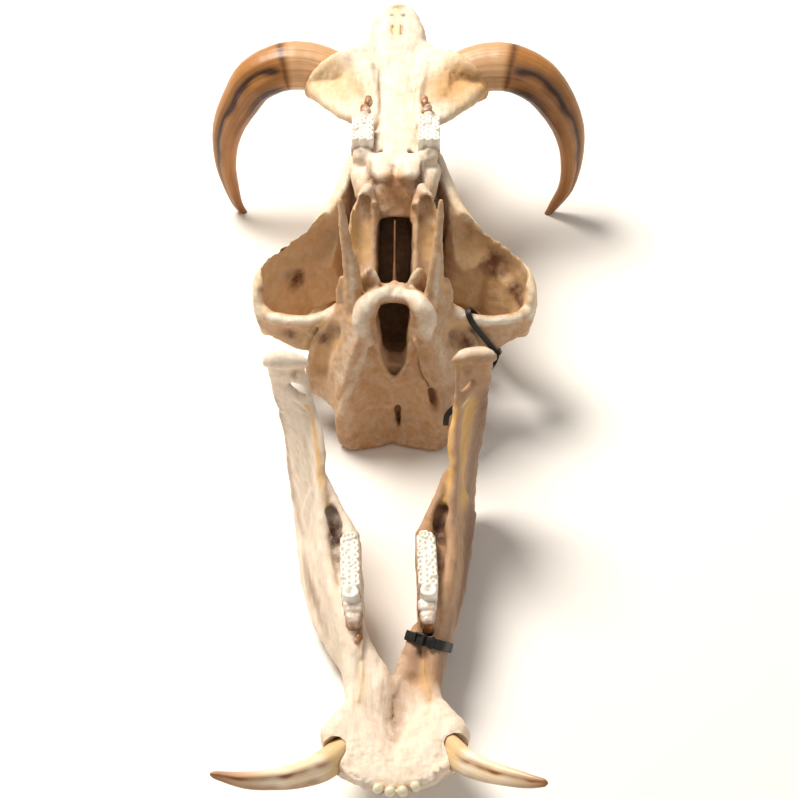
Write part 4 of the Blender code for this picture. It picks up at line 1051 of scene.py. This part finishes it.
def toothRow(clay, teeth):
    for x, y, across, along in columnPlaces(teeth):
        crown = teeth["crown"] + 0.5 * math.sin(1.3 * y + 0.7 * x)
        for side in both:
            lump = bmesh.new()
            middle = Matrix.Translation((side * x * mm, y * mm, 0.5 * (crown + teeth["base"]) * mm))
            middle = middle @ Matrix.Diagonal((across, along, 1.0, 1.0))
            bmesh.ops.create_cone(lump, cap_ends=True, segments=20, radius1=1.12 * mm,
                                  radius2=0.98 * mm, depth=(crown - teeth["base"]) * mm, matrix=middle)
            mesh = bpy.data.meshes.new("column")
            lump.to_mesh(mesh)
            clay.from_mesh(mesh)
            bpy.data.meshes.remove(mesh)
            lump.free()
    low, high = sorted((teeth["rear"], teeth["front"]))
    corners = [(teeth["inner"] + 3, low + 4), (teeth["outer"] - 3, low + 4),
               (teeth["inner"] + 3, high - 3), (teeth["outer"] - 3, high - 3)]
    top = teeth["crown"] - 4.2
    addHull(clay, [(x, y, z, 3.0) for x, y in corners for z in (top, teeth["base"] + 3)])


# how far each point is from the nearest column's middle, 1.0 at its edge
def columnShare(places, columns):
    flat = np.abs(places[:, 0])
    best = np.full(len(places), 9.0)
    for x, y, across, along in columns:
        best = np.minimum(best, np.hypot((flat - x) / across, (places[:, 1] - y) / along))
    return best


def buildTeeth(name, teeth, material, node, place):
    clay = bmesh.new()
    toothRow(clay, teeth)
    for balls, sides in teeth["small"]:
        addHull(clay, balls, sides)
    piece = makeObject(name, clay)
    remeshClay(piece, 0.6)
    smoothClay(piece, 1)
    columns = columnPlaces(teeth)
    places = readSkin(piece)[0]
    top = places[:, 2] > teeth["crown"] - 3.0
    share = columnShare(places, columns)
    rim, dish = softEdge(share - 0.72, 0.3), softEdge(share,
                                                      0.6)      # enamel stands, its core is hollowed
    places[:, 2] += top * (0.6 * rim - 0.8 * dish)
    writeSkin(piece, places)
    roughen(piece, 2.2, 0.3, 5.0)
    places = readSkin(piece)[0]
    worn = np.abs(places[:, 1]) > abs(teeth["front"]) + teeth["lobe"]
    below = np.where(worn, teeth["wornTop"], teeth["crown"] - 5.0) - places[:, 2]
    # darker below the crown and on the worn small teeth, and painted shade between the columns
    setAttributes(piece, ring=0.8 * softEdge(columnShare(places, columns), 0.6) * top * ~worn,
                  stain=np.clip(below / 9.0, 0.0, 0.85) + 0.42 * worn, hollow=hollowness(piece, 6.0))
    place(piece)
    finishSkin(piece, material, 60.0)
    takePlace(piece, node)


# lower jaw

# flare and belly push the ramus's rear edge out in mm, spread its front edge, on each side
jaw = {"yaw": 1.73, "shift": -12.3, "lean": -0.035, "leanLevel": 60.0, "chin": -350.0,
       "condyle": (69.0, -51.0, 153.5), "angle": 66.0, "flare": {1: 0.0, -1: 6.0},
       "belly": {1: 0.0, -1: 3.5}, "spread": {1: 4.0, -1: 0.0},
       "foot": {1: 25.0, -1: 30.0}, "voxel": 1.15, "smooth": 3, "faces": 110000,
       "rough": ((12.0, 0.9, 5.0), (4.0, 0.4, 11.0, None, 0.0, (1.0, 0.35, 1.0)),
                 (3.0, 0.9, 19.0, [(74, -48, 104), (70, -50, 70), (66, -66, 30), (60, -92, 6)], 9.0),
                 (2.5, 0.8, 29.0, [(33, -337, 55), (20, -348, 56), (0, -352, 56)], 9.0),
                 (3.2, 0.9, 31.0, [(36, -322, 54), (20, -330, 54), (0, -330, 52)], 26.0),
                 (1.8, 0.5, 37.0, [(36, -322, 54), (20, -330, 54), (0, -330, 52)], 26.0)),
       "tones": {"tan": "#AE7F50", "ivory": "#F6E6D2", "earth": "#7E5A40", "stain": "#4A2410",
                 "hollow": "#3F1E0C", "gold": "#E0B066", "streak": 0.36, "streakTone": "#C8A488",
                 "streakAlong": (1.0, 0.12, 0.8)}}


def jawRamus(clay):
    x, y, z = jaw["condyle"]
    half = jaw["angle"]
    addChain(clay, [(x - 14, y - 1, z - 2, 3.6), (x - 8, y, z - 0.5, 6), (x, y + 1, z, 7),
                    (x + 8, y + 1, z, 6.4), (x + 13, y + 1, z - 2, 4)])
    addHull(clay, [(x - 8, y, z - 5, 3.5), (x + 9, y + 2, z - 6, 4.5), (x + 1, y + 2, z - 26, 3.2),
                   (x + 8, y + 5, z - 28, 4.5)])
    addHull(clay, [(x - 11, y - 2, z - 8, 3), (x - 2, y, z - 8, 3), (x - 10, y - 4, z - 15, 2.4),
                   (x + 2, y, z - 20, 3)])
    for side in both:
        out = half + jaw["flare"][side]
        low = out + jaw["belly"][side]
        front = jaw["spread"][side]
        foot = jaw["foot"][side]
        addPlate(clay, [
            [(x + 2, y, z - 24, 3), (x + 5, y + 2, z - 25, 4), (x + 8, y + 4, z - 26, 5)],
            [(54 + front, -62, 116, 3), (63, -56, 116, 3.5), (half + 8, -46, 105, 5)],
            [(47 + front, -86, 106, 4), (58, -70, 86, 3.5), (half + 5, -48, 72, 5)],
            [(46.5 + front, -108, 91, 4), (55, -90, 58, 3.5), (out - 3, -62, 34, 5.5)],
            [(46, -134, 75, 4.5), (52, -118, 42, 4), (out - 7, -90, 5, 6.5)],
            [(46, -158, 66, 5), (50, -146, 36, 5), (low - 13, -126, 7, 6.5)],
            [(42, -182, 61, 5), (45, -176, 32, 6), (low - 19, -158, 9, 7)],
            [(36, -206, 56, 6), (38, -202, 30, 7), (low - 28, -192, 14, 7)],
            [(30, -232, 49, 6), (29.5, -232, 30, 6.5), (foot, -228, 13, 7.5)],
            [(27, -258, 43, 6), (26, -260, 26, 8), (25, -260, 9, 9)]], (side,))
        # thin bridge from the front edge up to the joint, with the notch behind it
        addChain(clay, [(47 + front, -84, 107, 4), (50 + front, -70, 117, 2.8),
                        (53 + front * 0.6, -61, 130, 2.3), (x - 12, y - 4, z - 9, 2.4),
                        (x - 12, y - 1, z - 3, 3)], (side,))
        addHull(clay, [(52 + front, -66, 119, 3), (59, -59, 122, 2.8), (67, -53, 124, 3),
                       (54 + front * 0.6, -62, 125, 2.4)], (side,))
        addHull(clay, [(x - 12, y - 4, z - 10, 2.4), (x - 2, y, z - 19, 2.6),
                       (x - 12, y - 6, z - 16, 2.2)], (side,))


def jawBody(clay):
    addPlate(clay, [
        [(46, -106, 89, 4), (57, -96, 50, 4), (62, -92, 24, 5)],
        [(40, -118, 81, 4), (48, -116, 48, 4), (56, -116, 18, 6)],
        [(33, -132, 75, 4.5), (38, -132, 46, 5), (48, -140, 16, 7)],
        [(27, -147, 68, 7), (30, -148, 42, 8), (42, -158, 15, 8)]])
    addHull(clay, [(27, -150, 62, 8), (27, -212, 58, 8), (25, -238, 48, 6), (30, -152, 35, 9),
                   (27, -240, 20, 8), (42, -160, 16, 8), (26, -240, 14, 8)])
    addHull(clay, [(35, -153, 59, 6), (42, -160, 58, 5), (37, -180, 56, 5), (41, -186, 51, 6),
                   (34, -206, 53, 5)])
    addHull(clay, [(41, -116, 79, 4), (44, -126, 71, 4.5), (37, -134, 65, 5), (43, -138, 63, 5),
                   (42, -120, 60, 5), (38, -148, 62, 6), (43, -150, 60, 6)])


def jawFront(clay):
    chin = jaw["chin"]
    for side, edge in ((1, 12.0), (-1, 16.5)):
        addPlate(clay, [
            [(edge + 7, -216, 48, 5), (26, -220, 30, 7)], [(edge, -234, 46, 5), (22, -240, 24, 7)],
            [(5, -252, 43, 4.5), (12, -258, 20, 8)], [(0, -266, 40, 4), (0, -272, 18, 9)]], (side,))
        addHull(clay, [(edge + 7, -218, 47, 5), (30, -224, 47, 6), (edge, -236, 45, 5),
                       (28, -258, 42, 6), (6, -254, 41, 5), (20, -262, 40, 5), (26, -240, 30, 8)],
                       (side,))
    addHull(clay, [(6, -256, 40, 5), (27, -256, 42, 6), (28, -280, 44, 6), (0, -268, 34, 6),
                   (0, -270, 11, 9), (20, -264, 9, 9), (0, -300, 24, 9), (24, -300, 32, 12)])
    addHull(clay, [(28, -276, 43, 6), (40, -306, 49, 11.5), (37, -326, 47, 9), (19, chin + 6, 53, 6.5),
                   (0, chin + 3, 53, 6.5), (0, -292, 26, 8), (24, -300, 28, 8)])
    # lumpy rim beside the front teeth, with the stump of a fifth
    addChain(clay, [(23, chin + 5, 56, 3.6), (30, chin + 10, 56, 3.6), (37, chin + 20, 54, 4.5)])
    addChain(clay, [(28, chin + 12, 55, 5), (28, chin + 6, 60.5, 3.2)], (1,))


def jawCutters(clay):
    addHull(clay, [(0, -244, 64, 20), (0, -280, 72, 26), (0, -325, 92, 33)], (1,))
    # hollow between the last molar and the front edge of the ramus
    addHull(clay, [(38.5, -141, 69.5, 3), (41, -131, 76, 3), (36.5, -149, 71, 3), (41, -138, 95, 7),
                   (36, -146, 95, 6)])
    # small openings for nerves, and the empty root sockets behind the chin
    addHull(clay, [(40, -228, 47, 1.6), (32, -228, 46, 1.2)], (-1,))
    addHull(clay, [(36, -257, 50, 1.5), (28, -256, 44, 1.2)], (-1,))
    addHull(clay, [(24, -224, 66, 2.6), (29, -225, 66, 2.6), (24, -229, 66, 2.4), (28, -229, 66, 2.4),
                   (26, -226, 49, 2.6)], (1,))


def jawStrokes():
    return [
        ([(0, -256, 43), (0, -272, 41), (-1, -284, 38), (-2, -309, 48)], 1.4, -1.4, (1,)),
        ([(21, -231, 56), (22, -258, 47), (25, -277, 49)], 2.2, 1.4, both),
        ([(14, -255, 44), (15, -270, 42), (17, -290, 40)], 5.0, -1.4, both),
        ([(40, -130, 76), (35, -139, 72)], 8.0, -3.0, both),
        ([(7, -262, 42), (8, -280, 39), (10, -300, 44)], 2.0, 0.6, both),
        ([(62, -64, 108), (56, -94, 73), (50, -118, 60)], 7.0, -1.2, both),
        ([(31, -343, 60), (26, -346, 60)], 4.0, -1.8, both),
    ]


def jawAttributes(piece):
    places = readSkin(piece)[0]
    x, y, z = places.T
    bleach = 0.1 + 0.9 * ramp(x, 10.0, -10.0)       # painted light: the left half is paler, as the light falls from the left
    chinFrom = -238.0 - 22.0 * ramp(x, 0.0, 12.0)   # and so is the chin, which faces the light
    bleach = np.maximum(bleach, 0.95 * ramp(y, chinFrom, chinFrom - 20.0))
    # painted highlight on the condyle tops and the edge of the notch
    bleach = np.maximum(bleach, paintSpots(places, [
        ([(56, -52, 160), (69, -50, 163), (82, -50, 160)], 8.0, 1.0, both),
        ([(59, -70, 116), (63, -58, 119), (58, -64, 116)], 3.0, 0.8, both)]))
    bleach *= 1.0 - paintSpots(places, [([(34, -336, 40), (0, -350, 42)], 14.0, 0.75, both),
                                        ([(0, -250, 44), (0, -285, 38)], 9.0, 0.45, (1,))])
    # gold tint, and painted highlight along lit edges, broadest on the right ramus
    gold = paintSpots(places, [
        ([(55, -66, 120), (49, -86, 108), (47, -108, 94), (44, -124, 82), (38, -134, 76)], 4.5, 0.9,
         both),
        ([(62, -60, 110), (61, -72, 94), (59, -88, 72), (56, -104, 56)], 15.0, 1.0, (1,)),
        ([(58, -52, 150), (60, -54, 142)], 6.0, 0.6, both),
        ([(20.6, -234, 58), (21.4, -260, 47.6), (24.9, -278, 49.2)], 6.0, 0.4, both)])
    # painted shade over the right ramus, the right body and the chin's trough, turned from the light;
    # earth brown along the left ramus's outer border
    earth = paintSpots(places, [
        ([(76, -48, 110), (72, -58, 76), (66, -84, 40), (60, -120, 26), (54, -160, 28),
          (46, -190, 30)], 20.0, 0.95, (1,)),
        ([(52, -80, 104), (49, -96, 96), (48, -112, 84), (46, -128, 70)], 6.0, 0.8, (1,)),
        ([(38, -205, 45), (36, -232, 44), (33, -250, 40), (30, -264, 36)], 16.0, 0.9, (1,)),
        ([(24, -226, 52), (19, -240, 48), (14, -254, 44)], 9.0, 0.9, (1,)),
        ([(80, -46, 108), (80, -50, 74), (78, -62, 44), (72, -90, 24), (68, -125, 20), (58, -160, 22),
          (44, -195, 26)], 10.0, 0.65, (-1,)),
        ([(0, -262, 44), (0, -290, 38), (-1, -306, 40)], 13.0, 0.45, (1,))])
    stain = paintSpots(places, [
        ([(39, -138, 66), (37, -148, 66)], 11.0, 1.0, both),
        ([(42, -126, 74), (43, -118, 80)], 7.0, 0.6, both),
        ([(36, -156, 64), (37, -172, 62)], 6.0, 0.55, both),
        ([(24, -229, 56), (22, -222, 60), (26, -210, 60)], 5.0, 0.75, both),
        ([(42, -318, 56), (48, -322, 52)], 7.0, 0.7, both),
        ([(26, -226, 58)], 5.0, 0.9, (1,)), ([(20, -240, 48), (27, -236, 48)], 6.0, 0.6, (1,)),
        ([(63, -54, 142), (60, -52, 146)], 5.0, 0.6, both),
        ([(30, -345, 44), (12, -354, 44)], 7.0, 0.5, both)])
    # painted shade in the hollows
    setAttributes(piece, bleach=bleach, gold=gold, earth=earth, stain=stain,
                  hollow=hollowness(piece, 20.0))


def buildJaw():
    sockets = (socketMouth, partial(makeLowerTusk, grow=lowerTusk["socket"]))
    return buildBone("mandibleBone", "mandible", jaw, (jawRamus, jawBody, jawFront), jawCutters,
                     jawStrokes(), sockets, jawAttributes, placeJaw,
                     dryBoneMaterial("Dry bone, ivory and ochre", jaw["tones"]))


# four round pegs in the chin
incisors = {"places": ((-12.4, -355.0, 61.0), (-4.4, -358.5, 62.5), (3.8, -358.5, 62.5),
                       (12.4, -354.5, 61.5)),
            "radius": 3.5}


def buildIncisors(material):
    clay = bmesh.new()
    radius = incisors["radius"]
    for x, y, z in incisors["places"]:
        addChain(clay, [(x * 0.9, y + 8, z - 13, radius + 0.4), (x, y + 3, z - 6, radius + 0.4),
                        (x, y, z - 0.5, radius - 0.2)], (1,), 5)
    piece = makeObject("incisors", clay)
    remeshClay(piece, 0.5)
    smoothClay(piece, 3)
    roughen(piece, 2.0, 0.3, 7.0)
    places = readSkin(piece)[0]
    # painted shade in the hollows; darker towards the roots
    setAttributes(piece, ring=np.zeros(len(places)), hollow=hollowness(piece, 5.0),
                  stain=0.8 * ramp(places[:, 2], 58.0, 54.0))
    placeJaw(piece)
    finishSkin(piece, material, 60.0)
    takePlace(piece, "mandible")


# cable ties: straps with fine ridges, laid on the convex outline of the bone they go round (mm)

# off: gap to the bone, ridges: their spacing, step: of the strap's path, ring: of its mesh
ties = {"off": 1.3, "ridges": 1.4, "step": 1.5, "ring": 0.35, "around": 16, "keeperAt": 8.5,
        "cheek": {"node": "tie_zygomatic", "middle": (65.5, 57.0, 80.0), "first": (0.5, 0.0, -1.0),
                  "second": (0.0, 1.0, 0.0), "oval": (36.0, 18.0), "wide": 2.3, "thick": 0.8,
                  "lockWay": (1.0, -0.6), "lock": (6.6, 5.6, 4.2), "keeper": False,
                  "slack": [(75, 41, 54), (69, 30, 54), (60, 16, 51), (50, 4, 50), (42, -6, 51),
                            (37.5, -10, 48), (36.5, -10, 42), (36.5, -8.5, 35)]},
        "chin": {"node": "tie_mandible", "middle": (22.0, -215.0, 32.0), "first": (0.0, -0.6, 0.8),
                 "second": (1.0, -0.24, -0.18), "oval": (50.0, 27.0), "wide": 3.6, "thick": 0.8,
                 "lockWay": (0.85, -0.5), "lock": (7.6, 8.6, 4.6), "keeper": True, "slack": None}}


def boneOutline(bone, middle, first, second, look):
    bm = bmesh.new()
    bm.from_mesh(bone.data)
    skin = BVHTree.FromBMesh(bm)
    bm.free()
    normal = first.cross(second).normalized()
    found = []
    for level in (-1.0, 0.0, 1.0):
        for step in range(120):
            turn = math.tau * step / 120
            centre = middle + normal * level * look["wide"] * mm
            away = (first * (look["oval"][0] * mm * math.cos(turn))
                    + second * (look["oval"][1] * mm * math.sin(turn)))
            hit = skin.ray_cast(centre + away, -away.normalized(), away.length)
            if hit[0] is not None:
                side = hit[0] - middle
                found.append(Vector((side.dot(first), side.dot(second))))
    return [found[index] for index in convex_hull_2d(found)]


# even steps round a closed outline, its corners rounded a little
def roundOutline(outline, step, repeats):
    points = []
    for here, there in zip(outline, outline[1:] + outline[:1]):
        count = max(1, round((there - here).length / (step * mm)))
        points += [here.lerp(there, share / count) for share in range(count)]
    heart = sum(points, Vector((0.0, 0.0))) / len(points)
    for turn in range(repeats):
        points = [0.25 * points[place - 1] + 0.5 * here + 0.25 * points[(place + 1) % len(points)]
                  for place, here in enumerate(points)]
    return points, heart


def strapSection(share, turn, radius, wide, thick, ridges):
    flat = math.copysign(abs(math.cos(turn)) ** 0.35, math.cos(turn))
    rise = math.copysign(abs(math.sin(turn)) ** 0.35, math.sin(turn))
    return flat * (thick + 0.12 * math.sin(share * ridges)) * radius, rise * wide * radius


# block of (along, across, out) in mm, with a sunk window in its upper face
def lockBlock(name, middle, along, across, out, size):
    edge, rim, depth = 0.6 * mm, 0.9 * mm, 1.2 * mm
    bm = bmesh.new()
    bmesh.ops.create_cube(bm, size=1.0, matrix=Matrix.Diagonal([side * mm for side in size] + [1.0]))
    bmesh.ops.bevel(bm, geom=bm.edges[:], offset=edge, segments=3, profile=0.5, affect="EDGES",
                    material=-1)
    top = max(bm.faces, key=lambda face: face.normal.z * face.calc_area())
    bmesh.ops.inset_individual(bm, faces=[top], thickness=rim)
    sunk = bmesh.ops.extrude_discrete_faces(bm, faces=[top])["faces"]
    bmesh.ops.translate(bm, vec=(0.0, 0.0, -depth), verts=sunk[0].verts[:])
    axes = Matrix((along, across, out)).transposed().to_4x4()
    bmesh.ops.transform(bm, matrix=Matrix.Translation(middle) @ axes, verts=bm.verts[:])
    return makeObject(name, bm)


def buildTie(bone, look, material):
    first, second = Vector(look["first"]).normalized(), Vector(look["second"]).normalized()
    across = first.cross(second).normalized()
    shift = Vector((bench["x"], bench["y"], 0.0))
    middle = (Vector(look["middle"]) + shift) * mm
    points, heart = roundOutline(boneOutline(bone, middle, first, second, look), ties["step"], 3)
    way = Vector(look["lockWay"]).normalized()
    start = max(range(len(points)), key=lambda place: points[place].dot(way))
    points = points[start:] + points[:start]
    path = []
    for place, point in enumerate(points):
        side = points[(place + 1) % len(points)] - points[place - 1]
        out = Vector((side.y, -side.x)).normalized()
        out = out if out.dot(point - heart) > 0.0 else -out
        point = point + out * ties["off"] * mm
        path.append(tuple((middle + first * point.x + second * point.y) / mm) + (1.0,))
    path.append(path[0])
    length = ties["step"] * len(path)
    strap = partial(strapSection, wide=look["wide"], thick=look["thick"])
    band = partial(strap, ridges=round(length / ties["ridges"]) * math.tau)
    pieces = [sweepTube(look["node"] + "Band", path, band, ties["around"],
                        round(length / ties["ring"]), across, closed=True)]
    out = first * way.x + second * way.y
    place = Vector(path[0][:3]) * mm + out * (0.5 * look["lock"][2] - 0.3) * mm
    pieces.append(lockBlock(look["node"] + "Lock", place, across.cross(out), across, out, look["lock"]))
    if look["keeper"]:
        index = round(ties["keeperAt"] / ties["step"])
        keeper = Vector(path[index][:3]) * mm
        along = (Vector(path[index + 1][:3]) - Vector(path[index - 1][:3])).normalized()
        upward = along.cross(across).normalized()
        upward = upward if upward.dot(keeper - middle) > 0.0 else -upward
        size = (2.6, look["lock"][1] + 0.4, 3.2)
        pieces.append(lockBlock(look["node"] + "Keeper", keeper + upward * 0.3 * mm,
                                across.cross(upward), across, upward, size))
    if look["slack"]:
        slack = [tuple(place / mm)] + [tuple(Vector(point) + shift) for point in look["slack"]]
        slack = refine(slack, 4)
        pieces.append(sweepTube(look["node"] + "SlackEnd", [point + (1.0,) for point in slack],
                                partial(strap, ridges=70.0 * math.tau), ties["around"], 300,
                                Vector((1.0, 0.0, 0.0))))
    for piece in pieces:
        finishSkin(piece, material, 40.0)
        takePlace(piece, look["node"])


# assembly

# colours of the teeth, tusks and ties; ring and tip places are shares of a tusk's length
looks = {"molars": {"enamel": "#FBF8F0", "cream": "#EFE6D2", "core": "#A8A098", "line": "#9A6230"},
         "incisors": {"enamel": "#F1E9D2", "cream": "#E0D2AE", "core": "#E0D2AE", "line": "#9A7240"},
         "upperTusks": {"body": "#A0662F", "pale": "#BA8447", "ring": "#CBA074", "ringFrom": 0.235,
                        "ringTo": 0.26, "tip": "#86501F", "tipFrom": 0.75, "streak": "#7A4720",
                        "stain": "#3A1B0A"},
         "lowerTusks": {"body": "#EFCF9C", "pale": "#FBF0DC", "ring": "#E2C291", "ringFrom": 0.3,
                        "ringTo": 0.4, "tip": "#9A6330", "tipFrom": 0.66, "streak": "#C98A4A",
                        "stain": "#8E5220"},
         "ties": {"nylon": "#0D0C0C", "dust": "#5B5148"}}

craniumPiece = buildCranium()
print("cranium built")
enamel = toothMaterial("Worn tooth enamel", looks["molars"])
buildTeeth("upperTeeth", upperTeeth, enamel, "cranium", placeCranium)
jawPiece = buildJaw()
buildTeeth("lowerTeeth", lowerTeeth, enamel, "mandible", placeJaw)
buildIncisors(toothMaterial("Cream enamel of the front teeth", looks["incisors"]))
print("lower jaw and teeth built")

ivory = tuskMaterial("Tusk ivory, brown-stained", looks["upperTusks"])
paleIvory = tuskMaterial("Tusk ivory, pale", looks["lowerTusks"])
for side, word in ((1, "right"), (-1, "left")):
    tusk = makeUpperTusk(side, name="upperTusk" + word.title())
    finishTusk(tusk, upperTuskStain(readSkin(tusk)[0], side), ivory, "upper_tusk_" + word, placeCranium)
    tusk = makeLowerTusk(side, name="lowerTusk" + word.title())
    finishTusk(tusk, lowerTuskStain(readSkin(tusk)[0], side), paleIvory, "lower_tusk_" + word, placeJaw)
print("tusks built")
nylon = nylonMaterial("Black nylon of the cable ties", looks["ties"])
buildTie(craniumPiece, ties["cheek"], nylon)
buildTie(jawPiece, ties["chin"], nylon)
print("ties built")

# floor, light and camera

# places in mm, lights as (name, place in metres, size in metres, watts, colour)
view = {"place": (0.509, -1139.441, 1274.05), "target": (0.509, -24.441, 70.0), "lens": 96.68,
        "floor": "#F4F2EE", "sky": "#F3EDE4", "skyPower": 0.36, "lit": (0.0, 0.0, 0.1),
        "lights": (("key", (-0.9, 1.1, 2.2), 1.2, 96.0, "#FFF8EE"),
                   ("fill", (1.2, -1.6, 1.6), 1.6, 6.0, "#F4F7FF"))}


def pointAt(thing, target):
    thing.rotation_euler = (Vector(target) - thing.location).to_track_quat("-Z", "Y").to_euler()


def addLight(name, place, size, power, colour):
    lamp = bpy.data.lights.new(name, "AREA")
    lamp.shape = "DISK"
    lamp.size = size
    lamp.energy = power
    lamp.color = linear(colour)[:3]
    thing = bpy.data.objects.new(name, lamp)
    thing.location = place
    bpy.context.scene.collection.objects.link(thing)
    pointAt(thing, view["lit"])


def buildStudio():
    bm = bmesh.new()
    bmesh.ops.create_grid(bm, x_segments=1, y_segments=1, size=8.0)
    floor = makeObject("studioFloor", bm)
    material, tree, shader = newMaterial("Matt white paper")
    shader.inputs["Base Color"].default_value = linear(view["floor"])
    shader.inputs["Roughness"].default_value = 0.9
    floor.data.materials.append(material)
    scene = bpy.context.scene
    scene.world = scene.world or bpy.data.worlds.new("studio")
    scene.world.use_nodes = True
    back = scene.world.node_tree.nodes["Background"]
    back.inputs["Color"].default_value = linear(view["sky"])
    back.inputs["Strength"].default_value = view["skyPower"]
    for light in view["lights"]:
        addLight(*light)
    camera = bpy.data.cameras.new("camera")
    camera.lens = view["lens"]
    camera.sensor_width = 36.0
    thing = bpy.data.objects.new("camera", camera)
    scene.collection.objects.link(thing)
    thing.location = Vector(view["place"]) * mm
    pointAt(thing, Vector(view["target"]) * mm)
    scene.camera = thing
    scene.view_settings.view_transform = "Standard"


buildStudio()
